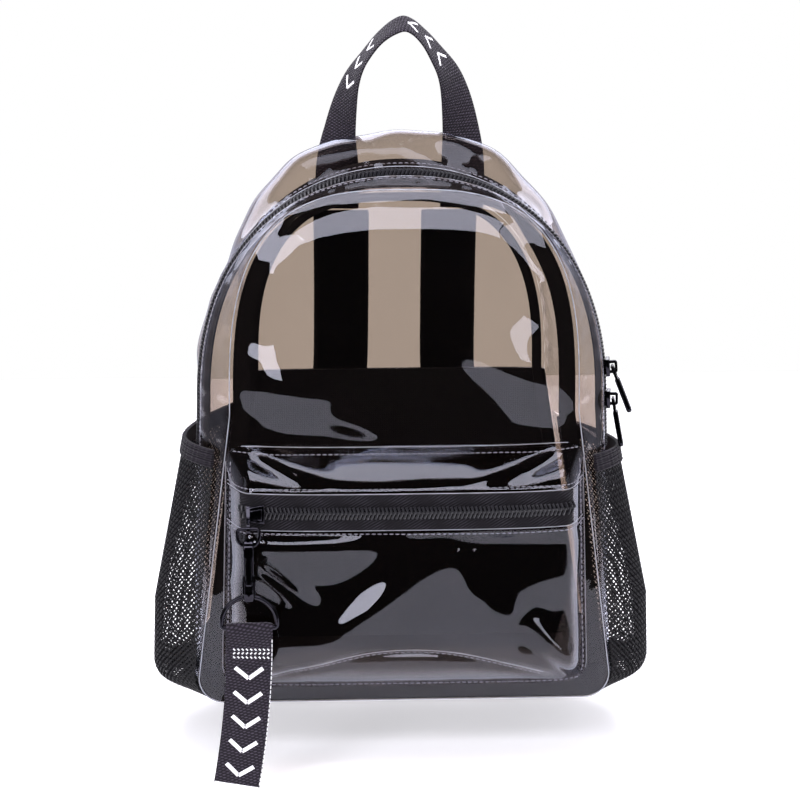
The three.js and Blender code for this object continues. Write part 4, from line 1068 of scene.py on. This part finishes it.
class BACKPACK_OT_cloth_body(bpy.types.Operator):
    """Builds the woven back panel, the base and the bindings inside the seams"""

    bl_idname = "backpack.cloth_body"
    bl_label = "Cloth body"

    def execute(self, context):
        loop = outline(BACK_Y, 240, high=CLOTH_TOP_Z)
        shape = disc(loop, 80.0, 40, self.face, (0, 1, 0), CLOTH_THICK - WALL, -WALL)
        panel = make("back_cloth", shape, black_cloth(), ["back_panel_lower"])
        base = make("base_cloth", self.base(), black_cloth(), ["base_panel"])
        for row in BINDINGS:
            self.binding(*row)
        return {"FINISHED"}

    def binding(self, name, seam, inward, side_wide, top_wide, top_turn):
        """Tape round the seam allowance, narrower over the top, where it may lie back under the gusset."""
        b = BINDING
        line = arch_line(seam, b["foot"], 320)
        deep = np.array((0.0, inward, 0.0))
        out = unit(np.cross(np.gradient(line, axis=0), deep))
        out = out * np.sign(np.sum(out * (line - (0, seam, 120))))
        _, shoulder, _, power = section(seam)
        leaning = np.clip(np.abs(line[:, 0]) / shoulder, 0, 1) ** (power / 2)
        share = DOME_SHARE * np.arcsin(leaning) * 2 / math.pi
        lowered = ease((share - b["top_share"]) / (b["side_share"] - b["top_share"]))[:, None]
        turn = math.radians(top_turn) * (1 - lowered)
        across = np.sin(turn) * deep - np.cos(turn) * out
        thick = np.cos(turn) * deep + np.sin(turn) * out
        start = line - out * (b["inset"] + b["thick"] * np.sin(turn)) + deep * b["clear"]
        shares = np.linspace(0, 1, 7)
        away = (top_wide + (side_wide - top_wide) * lowered) * shares
        run = np.broadcast_to(run_of(line)[:, None], away.shape)
        curl = 0.25 + 0.25 * np.sin(run / 5 + 2 * np.sin(run / 23)) * shares
        at = start[:, None] + across[:, None] * away[..., None] + thick[:, None] * curl[..., None]
        shape = slab(Shape(), at, thick[:, None], b["thick"], 0, np.stack([run, away], -1))
        make(name + "_tape", shape, black_cloth(), [name])

    def base(self):
        """The flat base, turned up in a round corner at each side."""
        turn = np.linspace(0, math.pi / 2, 12)
        radius = CORNER_RADIUS - WALL
        columns = []
        for y in np.linspace(FRONT_Y + SEAM_GAP, BACK_Y - SEAM_GAP, 40):
            middle = float(section(y)[2]) - CORNER_RADIUS
            right = np.stack([middle + radius * np.cos(turn), CORNER_RADIUS - radius * np.sin(turn)], -1)
            flat = np.stack([np.linspace(middle, -middle, 30)[1:-1], np.full(28, WALL)], -1)
            loop = np.concatenate([right, flat, right[::-1] * (-1, 1)])
            columns.append(xyz(loop[:, 0], y, loop[:, 1]))
        at = np.stack(columns, axis=1)
        return slab(Shape(), at, grid_normals(at, at - (0, 0, 60)), WALL, 0, at[..., :2])

    def face(self, x, z):
        """The cloth's outer face, with slack rumples between its seams."""
        slack = swell(BACK_Y, x, z) * ease((CLOTH_TOP_Z - z) / 20)
        return back_face(x, z) + 0.5 * slack * ripple(x, z, *CLOTH_WAVES)


# A coil tooth, in shares of the pitch and of the chain's rise
TOOTH = {"points": 6, "lap": -0.12, "slant": 0.55, "thick": 0.34, "low": 0.35, "bow": 0.5}


def teeth(line, out, half, rise, base):
    """Two interlocking rows of coil teeth along a line, half as wide to each side."""
    shape, pitch, count = Shape(), size("tooth_pitch"), TOOTH["points"]
    for side, start in ((1, 0.25), (-1, 0.75)):
        reach = np.linspace(1, TOOTH["lap"], count)
        bow = np.sin(np.linspace(0.15, 1, count) * math.pi * 0.62)
        lift = base + TOOTH["low"] * rise + TOOTH["bow"] * rise * bow
        slant = pitch * TOOTH["slant"] * np.linspace(-0.5, 0.5, count)
        path = xyz(slant, side * half * reach, lift)
        pattern = tube(Shape(), path, pitch * TOOTH["thick"], 6, up=(1, 0, 0))
        repeat(shape, pattern, line, out, np.arange(pitch * start, run_of(line)[-1], pitch), reach=1.0)
    return shape


class BACKPACK_OT_zips(bpy.types.Operator):
    """Builds the main zip over the dome and the front pocket's zip"""

    bl_idname = "backpack.zips"
    bl_label = "Zips"

    def execute(self, context):
        reach = np.linspace(-ZIP["tape"], ZIP["tape"], 21)
        at, out = arch_grid(ZIP["y"] + reach, ZIP_END_Z, 240)
        cloth = np.stack(grid(run_of(at[:, 10]), reach), -1)
        tape = slab(Shape(), at, out, -ZIP["under"], -ZIP["under"] - ZIP["thick"], cloth)
        make("main_zip_tape", tape, zip_tape(), ["main_zip"])
        chain = teeth(at[:, 10], out[:, 10], ZIP["chain"], ZIP["rise"] + ZIP["under"], -ZIP["under"])
        make("main_zip_teeth", chain, nylon_coil())
        p = POCKET
        across = np.linspace(-p["zip_half"], p["zip_half"], 120)
        x, z = grid(across, np.linspace(p["zip_bottom"], p["zip_top"], 15))
        at = pocket_face(x / pocket_half(z), z, rumple=False)
        out = grid_normals(at, (0, -1, 0))
        tape = slab(Shape(), at, out, p["wall"], 0, np.stack([x, z], -1))
        make("pocket_zip_tape", tape, zip_tape(), ["pocket_zip"])
        chain = teeth(at[:, 7], out[:, 7], p["chain"], p["rise"], p["wall"])
        make("pocket_zip_teeth", chain, nylon_coil())
        return {"FINISHED"}


class BACKPACK_OT_pocket(bpy.types.Operator):
    """Builds the puffed film of the front pocket"""

    bl_idname = "backpack.pocket"
    bl_label = "Front pocket"

    def execute(self, context):
        p = POCKET
        end = (p["zip_half"] + SEAM_GAP) / p["half_zip"]
        wide = np.linspace(-1, 1, 200)
        wide = np.sin(wide * math.pi / 2) * 0.35 + wide * 0.65
        short, tall = np.linspace(0, 1, 18), np.linspace(0, 1, 110) ** 1.25
        parts = (
            ("upper", wide, p["zip_top"] + SEAM_GAP, p["top"], np.linspace(0, 1, 30)),
            ("lower", wide, p["bottom"], p["zip_bottom"] - SEAM_GAP, tall),
            ("end_left", np.linspace(-1, -end, 18), p["zip_bottom"], p["zip_top"], short),
            ("end_right", np.linspace(end, 1, 18), p["zip_bottom"], p["zip_top"], short),
        )
        for name, across, low, high, rows in parts:
            at = pocket_face(*grid(across, low + (high - low) * rows))
            shape = slab(Shape(), at, grid_normals(at, (0, -1, 0)), p["wall"])
            make(f"pocket_{name}_film", shape, clear_film(), [f"pocket_{name}"])
        return {"FINISHED"}


# The net's strands: how far they bend to a knot and sway, in openings, and their lift and flatness
STRAND = {"bend": 0.14, "sway": 0.05, "off": 0.5, "lift": 0.14, "flat": 0.7, "seed": 40}
# Net openings are counted at this height, and the strands lie this far inside the net's lower and upper edges
NET_LEVEL, NET_LOW, NET_SPARE, NET_UNDER_HEM = 60.0, 0.5, 4.5, 1.5
HEM = {"ribs": 5, "rib": 0.45, "gather": 0.22, "sunk": 0.35}


class BACKPACK_OT_net_pockets(bpy.types.Operator):
    """Knots the net of the side pockets and builds their ribbed hems"""

    bl_idname = "backpack.net_pockets"
    bl_label = "Net pockets"

    def execute(self, context):
        for label, side in LEFT_RIGHT:
            net, ribs = self.net(side), self.hem(side)
            piece = make(f"net_{label}", net, knitted_net(), [f"mesh_pocket_{label}"])
            hem = make(f"net_hem_{label}", ribs, ribbed_elastic(), [f"mesh_hem_{label}"])
        return {"FINISHED"}

    def net(self, side):
        """Two families of slanting strands that bend towards each other where they are knotted."""
        pitch, strand = size("net_pitch"), size("net_strand") / 2
        low, high = NET["bottom"] + NET_LOW, HEMS[side][0] - NET["hem_tall"]
        # Length across the pocket at one height gives even openings
        y = np.linspace(NET["front"], NET["back"], 400)
        run = run_of(net_face(side, y, np.full(400, NET_LEVEL)))
        wide = run[-1]
        cols, rows = int(wide / pitch), int((high - low + NET_SPARE) / pitch)
        shape = Shape()
        pick = np.random.default_rng(STRAND["seed"] + side)
        sway = pick.normal(0, STRAND["sway"], (cols + rows + 2, 2))
        step = np.arange(0, rows + 0.01, 0.5)
        for family, slope in enumerate((1, -1)):
            for start in range(-rows, cols + rows + 1):
                u = start + slope * step
                keep = (u >= 0) & (u <= cols)
                if keep.sum() < 3:
                    continue
                u, v = u[keep], step[keep]
                u = u - slope * STRAND["bend"] * np.sin(2 * math.pi * v)
                u = np.clip(u + sway[start % len(sway), family], 0, cols)
                depth = np.interp(u / cols * wide, run, y)
                top = hem_line(side, depth) - NET["hem_tall"] + NET_UNDER_HEM
                at = net_face(side, depth, low + (top - low) * v / rows)
                out = unit(at * (1, 1, 0) - (side * 70, 0, 0))
                lift = STRAND["off"] - slope * STRAND["lift"] * np.cos(2 * math.pi * v)
                tube(shape, at + out * lift[:, None], strand, 4, up=out, flat=STRAND["flat"])
        return shape

    def hem(self, side):
        """The elastic hem, in ribs, gathered a little along its length."""
        y, share = grid(np.linspace(NET["front"], NET["back"], 150), np.linspace(0, 1, 41))
        z = hem_line(side, y) - NET["hem_tall"] * (1 - share)
        at = net_face(side, y, z)
        rib = HEM["rib"] * np.abs(np.sin(share * HEM["ribs"] * math.pi)) ** 0.7
        gather = HEM["gather"] * np.sin(y * 1.9 + 3 * share) * np.sin(y * 0.37)
        thick = NET["hem_wall"] - HEM["sunk"] + rib + gather
        return slab(Shape(), at, grid_normals(at, (side, 0, 0)), thick, 0, np.stack([y, z], -1))


def handle_ribbon():
    """The grab handle's route: flat on the back at its feet, turning to lie almost level at its crest."""
    rows, count = np.array(HANDLE_ROWS), 220
    lean = HANDLE["x"] + HANDLE["lean"] * (rows[:, 2] - HANDLE["foot"]) / (HANDLE["crest"] - HANDLE["foot"])
    route = smooth_route(np.column_stack([rows[:, 0] + lean, rows[:, 1:3]]))
    across = smooth_route(rows[:, 3:])
    turned = read_rows(np.linspace(0, len(across) - 1, count), np.arange(len(across)), across)
    return Ribbon(route, turned, count)


# Chevrons printed along the webbing: their places, half width, height and line width
HANDLE_MARKS = {"places": (70, 82, 94, 122, 134, 146), "half": 6.5, "tall": 5.5, "line": 1.8}
TAG_MARKS = {"places": (6, 20, 34, 48, 62), "half": 7.5, "tall": 6.0, "line": 2.2}
INK_THICK = 0.15


def chevrons(ribbon, marks, heights):
    """A row of chevrons printed on the webbing's faces."""
    shape = Shape()
    for along in marks["places"]:
        for height in heights:
            for side in (-1, 1):
                tip = (along + marks["tall"], side * marks["half"])
                ribbon.stroke(shape, (along, 0), tip, marks["line"], height, INK_THICK)
    return shape


PUFF_PRESSURE, PUFF_STEPS = 4.0, 20


def puff(piece, cap):
    """Blows a stuffed piece up with a short cloth simulation. Faces lift by at most cap, sewn edges stay."""
    scene, mesh = bpy.context.scene, piece.data
    rest = np.array([v.co for v in mesh.vertices])
    faced = np.array([v.normal for v in mesh.vertices])
    cloth = piece.modifiers.new("cloth", "CLOTH")
    cloth.settings.use_pressure = True
    cloth.settings.uniform_pressure_force = PUFF_PRESSURE
    cloth.settings.effector_weights.gravity = 0.0
    for step in range(1, PUFF_STEPS + 1):
        scene.frame_set(step)
    held = bpy.context.evaluated_depsgraph_get()
    blown = bpy.data.meshes.new_from_object(piece.evaluated_get(held))
    lift = np.sum((np.array([v.co for v in blown.vertices]) - rest) * faced, axis=1, keepdims=True)
    bpy.data.meshes.remove(blown)
    piece.modifiers.clear()
    scene.frame_set(1)
    moved = faced * np.clip(lift, 0, cap) * faced[:, 1:2] ** 2
    mesh.vertices.foreach_set("co", (rest + moved).astype(np.float32).ravel())
    round_off = piece.modifiers.new("round", "SUBSURF")
    round_off.levels = round_off.render_levels = 1


# The pad's share of its thickness before it is blown up, and how far its stitches lie in and up
PAD_SLACK, PAD_ROW_IN, PAD_ROW_UP = 0.8, 4.5, 0.35


class BACKPACK_OT_carrying(bpy.types.Operator):
    """Builds the handle, the padded straps, their webbing and adjusters"""

    bl_idname = "backpack.carrying"
    bl_label = "Handle and straps"

    def execute(self, context):
        handle = handle_ribbon()
        shape = handle.slab(Shape(), WEBBING_WIDTH, WEBBING_THICK)
        make("handle_webbing", shape, black_webbing(), ["handle"])
        marks = chevrons(handle, HANDLE_MARKS, (WEBBING_THICK, -INK_THICK))
        make("handle_print", marks, printed_ink())
        for label, side in LEFT_RIGHT:
            turn = np.array((side, 1, 1))
            pad_line, web_line = (smooth_route(np.array(r)[::-1] * turn) for r in (STRAP_ROUTE, WEB_ROUTE))
            self.pad(label, Ribbon(pad_line, (1, 0, 0), 90))
            shape = Ribbon(web_line, (1, 0, 0), 70).slab(Shape(), WEBBING_WIDTH, WEBBING_THICK)
            make(f"web_{label}", shape, black_webbing(), [f"strap_web_{label}"])
            self.adjuster(label, pad_line[0], web_line[-1])
        return {"FINISHED"}

    def pad(self, label, pad):
        """One shoulder strap's stuffed pad and the rows of stitches along its edges."""
        start = PAD_SLACK

        def thick(along, across):
            ends = ease(along * PAD["end_runs"]) * ease((1 - along) * PAD["end_runs"])
            edges = PAD["edge"] + (1 - PAD["edge"]) * ease(1 - np.abs(across - 0.5) * 2)
            return PAD["thick"] * (PAD["end"] + (1 - PAD["end"]) * ends) * edges * start

        shape = pad.slab(Shape(), PAD["width"], thick, 17)
        piece = make(f"pad_{label}", shape, black_cloth(), [f"strap_pad_{label}"])
        puff(piece, size("pad_puff") * MM)
        rows = Shape()
        along = np.linspace(4, pad.length - 4, 120)
        for side in (-1, 1):
            inset = side * (PAD["width"] / 2 - PAD_ROW_IN)
            high = thick(along / pad.length, inset / PAD["width"] + 0.5) / start + PAD_ROW_UP
            sew(rows, pad.at(along, inset, high), pad.normal(along))
        make(f"pad_stitches_{label}", rows, glint_painted_thread())

    def adjuster(self, label, above, below):
        """The ladder lock between the pad's lower end and the webbing."""
        a = ADJUSTER
        up = unit(above - below)
        flat = square_to(np.array((1.0, 0, 0)), up)
        middle = (above + below) / 2 + (0, a["inset"], 0)
        wide, tall = a["width"] / 2, a["height"] / 2
        loops = [box_loop(-wide, wide, -tall, tall)]
        for end in (-1, 1):
            centre = end * (a["height"] - 2 * a["frame"] + a["bar"]) / 4
            half = (a["height"] - 2 * a["frame"] - a["bar"]) / 4
            loops.append(box_loop(-wide + a["frame"], wide - a["frame"], centre - half, centre + half))
        shape = plate(Shape(), loops, a["thick"] / 2, 0.8, placer(middle, flat, up, np.cross(flat, up)))
        make(f"adjuster_{label}", shape, moulded_plastic(), [f"strap_adjuster_{label}"])


def slider_place(height):
    """Origin, down the zip, across it and out of the bag, for a slider of the main zip."""
    before, line, behind = (arch_line(ZIP["y"] + step, ZIP_END_Z, 1200) for step in (-1, 0, 1))
    right_side = line[:, 0] > 40
    i = int(np.argmin(np.abs(line[:, 2] - height) + ~right_side * 1e3))
    tangent = unit(line[i + 1] - line[i - 1])
    down = unit(tangent * (1, 0, 1))
    across = square_to(behind[i] - before[i], down)
    out = np.cross(down, across)
    return line[i] + out * ZIP["rise"], down, across, out


class BACKPACK_OT_sliders(bpy.types.Operator):
    """Builds the main zip's sliders and pulls"""

    bl_idname = "backpack.sliders"
    bl_label = "Sliders and pulls"

    def execute(self, context):
        for name, height, lift in PULLS:
            place = slider_place(height)
            self.slider(name, *place)
            self.pull(name, lift, *place)
        return {"FINISHED"}

    def slider(self, name, origin, down, across, out):
        """A slider's body with the bridge that its pull hangs in."""
        s, bend = SLIDER, 1.5
        nose, wide = s["length"] / 2, s["width"] / 2
        outer = [(-nose, -wide), (nose * 0.2, -wide), (nose, -wide * 0.64)]
        outer += [(a, -b) for a, b in outer[::-1]]
        low, top = s["lift"] + s["plate"] / 2, s["bridge"]
        shape = plate(Shape(), [outer], s["plate"] / 2, 0.5, placer(origin + low * out, down, across, out))
        post, inner = s["post_half"], s["post_half"] - s["post"]
        arch = [(-post, low)] + arc((bend - post, top - bend), bend, 180, 90, 4)
        arch += arc((post - bend, top - bend), bend, 90, 0, 4) + [(post, low)]
        arch += [(inner, low), (inner, top - s["bar"]), (-inner, top - s["bar"]), (-inner, low)]
        plate(shape, [arch[::-1]], s["bar_half"], 0.3, placer(origin, down, out, np.cross(down, out)))
        make(f"slider_{name}", shape, plated_metal(), [f"main_slider_{name}"])

    def pull(self, name, lift, origin, down, across, out):
        """A pull that lies along the zip, with a window for the bridge and a thick grip."""
        p, lean = PULL, math.radians(lift)
        along = math.cos(lean) * down + math.sin(lean) * out
        face = -math.sin(lean) * down + math.cos(lean) * out
        put = placer(origin + p["pivot"] * out, along, across, face)
        half, thin = p["half"], p["thick"] / 2
        tip = arc((p["length"] - half, 0), half, -90, 90, 12)
        hole = box_loop(thin, p["window"], -half + p["arm"], half - p["arm"])
        shape = plate(Shape(), [[(-thin, -half)] + tip + [(-thin, half)], hole], thin, 0.35, put)
        grip = [(p["grip_from"], -half)] + tip + [(p["grip_from"], half)]
        plate(shape, [grip], p["grip"] / 2, 1.1, put)
        make(f"pull_{name}", shape, plated_metal(), [f"main_pull_{name}"], body=f"pull_{name}")


def wire_d(half, tall, corner):
    """A D of wire in its own plane: the straight side on top, the bow below."""
    loop = [(-half + corner, 0), (half - corner, 0)] + arc((half - corner, -corner), corner, 90, 0, 6)
    loop += arc((0, -tall + half), half, 0, -180, 36) + arc((-half + corner, -corner), corner, 180, 90, 6)
    return spaced(np.array(loop), 97)[:-1]


def upright(x, y=0.0, z=0.0):
    """Gives a function that stands a plate on edge in the bag, so that it is seen from its side."""
    return lambda points: np.column_stack([x + points[:, 2], y + points[:, 0], z + points[:, 1]])


# Turned profile of the swivel's collar, from its lower end up: height from its top and radius
COLLAR = (
    (-RING["collar_drop"], 2.4), (0.5 - RING["collar_drop"], 3.1), (-2.6, RING["collar"]),
    (-0.5, RING["collar"]), (0.0, 2.9),
)
# The tag's sewing: rows of short slanted dashes, and a pale thread along its end and one edge
TAG_DASHES = {
    "rows": ((74.0, 0.5), (76.4, -0.5), (78.6, 0.5)), "half": 10.2, "pitch": 2.3, "line": 0.7, "thick": 0.25,
}
TAG_EDGE = {
    "half": 12.2, "end": 0.4, "end_line": 0.8, "from": 2.0, "to": 84.0, "pitch": 2.6, "dash": 1.7,
    "line": 0.45, "low": 0.6, "thick": 0.6,
}


class BACKPACK_OT_fob(bpy.types.Operator):
    """Builds the pocket's slider, the pull ring, the snap hook, the swivel ring and the tag"""

    bl_idname = "backpack.fob"
    bl_label = "Fob"

    def execute(self, context):
        slider_end = SLIDER_X + SLIDER["length"] / 2
        tape = pocket_face(slider_end / pocket_half(POCKET_ZIP_Z), POCKET_ZIP_Z, rumple=False)
        zip_face = float(tape[1]) - POCKET["wall"] - POCKET["rise"]
        fob_y = zip_face - FOB_REACH
        self.slider(zip_face, fob_y)
        loop = wire_d(PULL_RING["half"] - WIRE, PULL_RING["height"] - WIRE, PULL_RING["corner"])
        wire = tube(Shape(), xyz(FOB_X + loop[:, 0], fob_y, LUG["z"] + loop[:, 1]), WIRE, 12, True, (0, 1, 0))
        make("pull_wire", wire, plated_metal(), ["pull_ring"], body="fob")
        hang = LUG["z"] - PULL_RING["height"] + 2 * WIRE + HOOK["hang"]
        foot = np.array((FOB_X, fob_y, hang - HOOK["eye"] - HOOK["bend"]))
        self.hook(foot)
        self.ring(foot)
        self.tag(foot)
        return {"FINISHED"}

    def slider(self, zip_face, fob_y):
        """The pocket's slider: a crowned body and a tongue with the hole for the pull ring."""
        def level(y):
            return lambda q: np.column_stack([SLIDER_X + q[:, 0], y + q[:, 2], POCKET_ZIP_Z + q[:, 1]])

        nose, wide, half = SLIDER["length"] / 2, POCKET_SLIDER / 2, SLIDER["plate"] / 2
        body = zip_face - SLIDER["lift"] - half
        outer = [(-nose, -wide * 0.7), (nose, -wide), (nose, wide), (-nose, wide * 0.7)]
        shape = plate(Shape(), [outer], half, 0.8, level(body))
        plate(shape, [[(0.7 * a, 0.62 * b) for a, b in outer]], 0.7, 0.5, level(body - half))
        eye = (fob_y, LUG["z"])
        tongue = [(body, POCKET_ZIP_Z + wide - 1), (body, LUG["z"] - LUG["round"])]
        tongue += arc(eye, LUG["round"], 270, 90, 12)
        plate(shape, [tongue, arc(eye, LUG["hole"], 0, 342, 19)], LUG["half"], 0.4, upright(FOB_X))
        make("pocket_zip_slider", shape, plated_metal(), ["pocket_slider"])

    def hook(self, foot):
        """The snap hook: its bent bar, two cheeks, the core between them, the pin and the gate."""
        h, g = HOOK, GATE
        put, outer = upright(*foot), h["bend"] + h["bar"]
        eye = (0, h["eye"])
        bar = [(h["bend"], 0), (outer, 0)] + arc(eye, outer, 0, 180, 20)
        bar += [(-outer, h["nose"]), (-h["bend"], h["nose"])] + arc(eye, h["bend"], 180, 0, 16)
        shape = plate(Shape(), [bar], h["half"], 0.9, put)
        cheek, thick = box_loop(-outer, outer, h["drop"], h["foot"]), (h["foot_half"] - h["slot"]) / 2
        for side in (-1, 1):
            plate(shape, [cheek], thick, 0.6, upright(*(foot + (side * (h["slot"] + thick), 0, 0))))
        inset, front = 0.3, h["pin_y"] + g["knuckle"] + RUN_CLEAR
        core = box_loop(front, outer - inset, h["drop"] + inset, h["foot"] - inset)
        plate(shape, [core], h["slot"] + 0.2, 0.2, put)
        reach = h["foot_half"] + 0.25
        pin = foot + (0, h["pin_y"], h["pin_z"])
        tube(shape, pin + xyz(np.array((-reach, 0, reach)), 0, 0), h["pin"], 12)
        make("snap_hook", shape, plated_metal(), ["hook_body"], body="fob")
        front, back = h["pin_y"] - g["thick"] / 2, h["pin_y"] + g["thick"] / 2
        lever = arc((h["pin_y"], h["pin_z"]), g["knuckle"], 150, 390, 14)
        lever += [(back, g["waist"]), (back, g["top"]), (front, g["top"]), (front, g["waist"])]
        shape = plate(Shape(), [lever], g["half"], 0.4, put)
        make("snap_gate", shape, plated_metal(), ["hook_gate"], body="gate")

    def ring(self, foot):
        """The wire ring that turns under the hook, with its collar and stem."""
        loop = wire_d(RING["half"] - RING["wire"], RING["height"] - RING["wire"], RING["corner"])
        at = foot + xyz(-loop[:, 0], 0, RING_BAR - loop[:, 1])
        shape = tube(Shape(), at, RING["wire"], 14, True, (0, 1, 0))
        height, radius = np.array(COLLAR).T
        tube(shape, foot + xyz(0, 0, SWIVEL_TOP + height), radius, 24, up=(0, 1, 0))
        stem = np.array((SWIVEL_TOP - 1, SWIVEL_TOP + 1, HOOK["foot"] + 1.3))
        tube(shape, foot + xyz(0, 0, stem), RING["stem"], 16, up=(0, 1, 0))
        make("swivel_d", shape, plated_metal(), ["swivel_ring"], body="swivel")

    def tag(self, foot):
        """The folded webbing that hangs on the ring's bar, with its print and sewing."""
        turn = RING["wire"] + RUN_CLEAR
        share = np.linspace(0, 1, 30)
        apart = turn + (TAG["ply"] / 2 - turn) * ease(share * 6)
        ply = xyz(-TAG["sweep"] * share ** 2, apart, RING_BAR - turn - share * TAG["length"])
        over = np.radians(np.linspace(160, 20, 9))
        bow = xyz(0, turn * np.cos(over), RING_BAR + turn * np.sin(over))
        route = foot + np.concatenate([(ply * (1, -1, 1))[::-1], bow, ply])
        tag, thick = Ribbon(route, (-1, 0, 0), 150), TAG["thick"]
        shape = tag.slab(Shape(), WEBBING_WIDTH, thick)
        make("tag_webbing", shape, black_webbing(), ["tag"], body="swivel")
        make("tag_print", chevrons(tag, TAG_MARKS, (thick,)), printed_ink(), body="swivel")
        rows, d, e = Shape(), TAG_DASHES, TAG_EDGE
        for start, lean in d["rows"]:
            for across in np.arange(-d["half"], d["half"] + 0.1, d["pitch"]):
                ends = ((start - lean, across - 0.5), (start + lean, across + 0.5))
                tag.stroke(rows, *ends, d["line"], thick, d["thick"])
        low, half = thick * e["low"], e["half"]
        tag.stroke(rows, (e["end"], -half), (e["end"], half), e["end_line"], low, e["thick"])
        for along in np.arange(e["from"], e["to"], e["pitch"]):
            tag.stroke(rows, (along, -half), (along + e["dash"], -half), e["line"], low, e["thick"])
        make("tag_stitches", rows, pale_thread(), body="swivel")


# Rows along the main zip, by distance from its middle, and across the pocket, by height
ZIP_ROWS = ((ZIP["open"], edge_highlight), (ZIP["open"] + 2.4, sew))
POCKET_ROWS = (
    (POCKET["top"] - 0.4, edge_highlight), (POCKET["top"] - 3.4, sew),
    (POCKET["zip_top"] + 0.5, edge_highlight), (POCKET["zip_top"] + 2.6, sew),
    (POCKET["zip_bottom"] - 0.5, edge_highlight), (POCKET["zip_bottom"] - 2.6, sew),
    (POCKET["bottom"] + 3.2, sew),
)
# Rows up the pocket's sides, by share of its half width
RIM_ROWS = ((0.997, edge_highlight), (0.968, sew))


def on_pocket(share, z):
    """Points on the pocket's outer face, and its normals there."""
    step, aside = 0.6, 0.006
    along = pocket_face(share + aside, z) - pocket_face(share - aside, z)
    out = unit(np.cross(along, pocket_face(share, z + step) - pocket_face(share, z - step)))
    out = out * np.sign(-out[..., 1:2])
    return pocket_face(share, z) + out * POCKET["wall"], out


class BACKPACK_OT_seams(bpy.types.Operator):
    """Sews the film's seams and draws its cut edges as pale lines, a painted highlight"""

    bl_idname = "backpack.seams"
    bl_label = "Seams"

    def execute(self, context):
        shapes = {sew: Shape(), edge_highlight: Shape()}
        for side in (-1, 1):
            for away, add in ZIP_ROWS:
                at, out = arch_grid(ZIP["y"] + side * (away + np.array((-0.5, 0, 0.5))), ZIP_END_Z, 420)
                add(shapes[add], at[:, 1] + out[:, 1] * WALL, out[:, 1])
        x, z = outline(FRONT_Y, 420).T
        tube(shapes[edge_highlight], xyz(x, rumpled_front(x, z), z), 0.3, 6, True, (0, -1, 0))
        x, z = np.linspace(-88, 88, 200), CLOTH_TOP_Z - 4
        sew(shapes[sew], xyz(x, back_face(x, z) + CLOTH_THICK - WALL, z), (0, 1, 0))
        self.pocket(shapes)
        make("seam_stitches", shapes[sew], glint_painted_thread())
        make("seam_edges", shapes[edge_highlight], painted_edge_highlight())
        return {"FINISHED"}

    def pocket(self, shapes):
        """Rows round the pocket's rim, along both sides of its zip and along its fold."""
        across = np.linspace(-0.985, 0.985, 320)
        for height, add in POCKET_ROWS:
            add(shapes[add], *on_pocket(across, np.full(320, height)))
        x = np.linspace(-FOLD["half"], FOLD["half"], 240) * 1.02
        z = fold_line(x)
        # The pale line just above the fold is a painted highlight on the fold's lip.
        for above, add in ((0.0, sew), (1.8, edge_highlight)):
            add(shapes[add], *on_pocket(x / pocket_half(z), z + above))
        heights = np.linspace(POCKET["bottom"] + 8, POCKET["top"] - 9, 200)
        for side in (-1, 1):
            for share, add in RIM_ROWS:
                add(shapes[add], *on_pocket(np.full(200, side * share), heights))


OPERATORS = (
    BACKPACK_OT_stage, BACKPACK_OT_film_body, BACKPACK_OT_cloth_body, BACKPACK_OT_zips, BACKPACK_OT_pocket,
    BACKPACK_OT_net_pockets, BACKPACK_OT_carrying, BACKPACK_OT_sliders, BACKPACK_OT_fob, BACKPACK_OT_seams,
)


class BACKPACK_PT_panel(bpy.types.Panel):
    """Lists the bag's sizes, colours and building steps"""

    bl_idname = "BACKPACK_PT_panel"
    bl_label = "Backpack"
    bl_space_type = "VIEW_3D"
    bl_region_type = "UI"
    bl_category = "Backpack"

    def draw(self, context):
        for group in (context.scene.backpack_sizes, context.scene.backpack_colours):
            column = self.layout.column()
            for name in group.__annotations__:
                column.prop(group, name)
        for operator in OPERATORS:
            self.layout.operator(operator.bl_idname)


CLASSES = (BackpackSizes, BackpackColours) + OPERATORS + (BACKPACK_PT_panel,)


def register():
    """Registers the classes and the scene's settings."""
    for kind in CLASSES:
        bpy.utils.register_class(kind)
    bpy.types.Scene.backpack_sizes = PointerProperty(type=BackpackSizes)
    bpy.types.Scene.backpack_colours = PointerProperty(type=BackpackColours)


def unregister():
    """Takes the classes and the scene's settings away again."""
    del bpy.types.Scene.backpack_colours
    del bpy.types.Scene.backpack_sizes
    for kind in reversed(CLASSES):
        bpy.utils.unregister_class(kind)


def main():
    """Builds the bag piece by piece."""
    register()
    bpy.ops.backpack.stage()
    bpy.ops.backpack.film_body()
    bpy.ops.backpack.cloth_body()
    bpy.ops.backpack.zips()
    bpy.ops.backpack.pocket()
    bpy.ops.backpack.net_pockets()
    bpy.ops.backpack.carrying()
    bpy.ops.backpack.sliders()
    bpy.ops.backpack.fob()
    bpy.ops.backpack.seams()


if __name__ == "__main__":
    main()
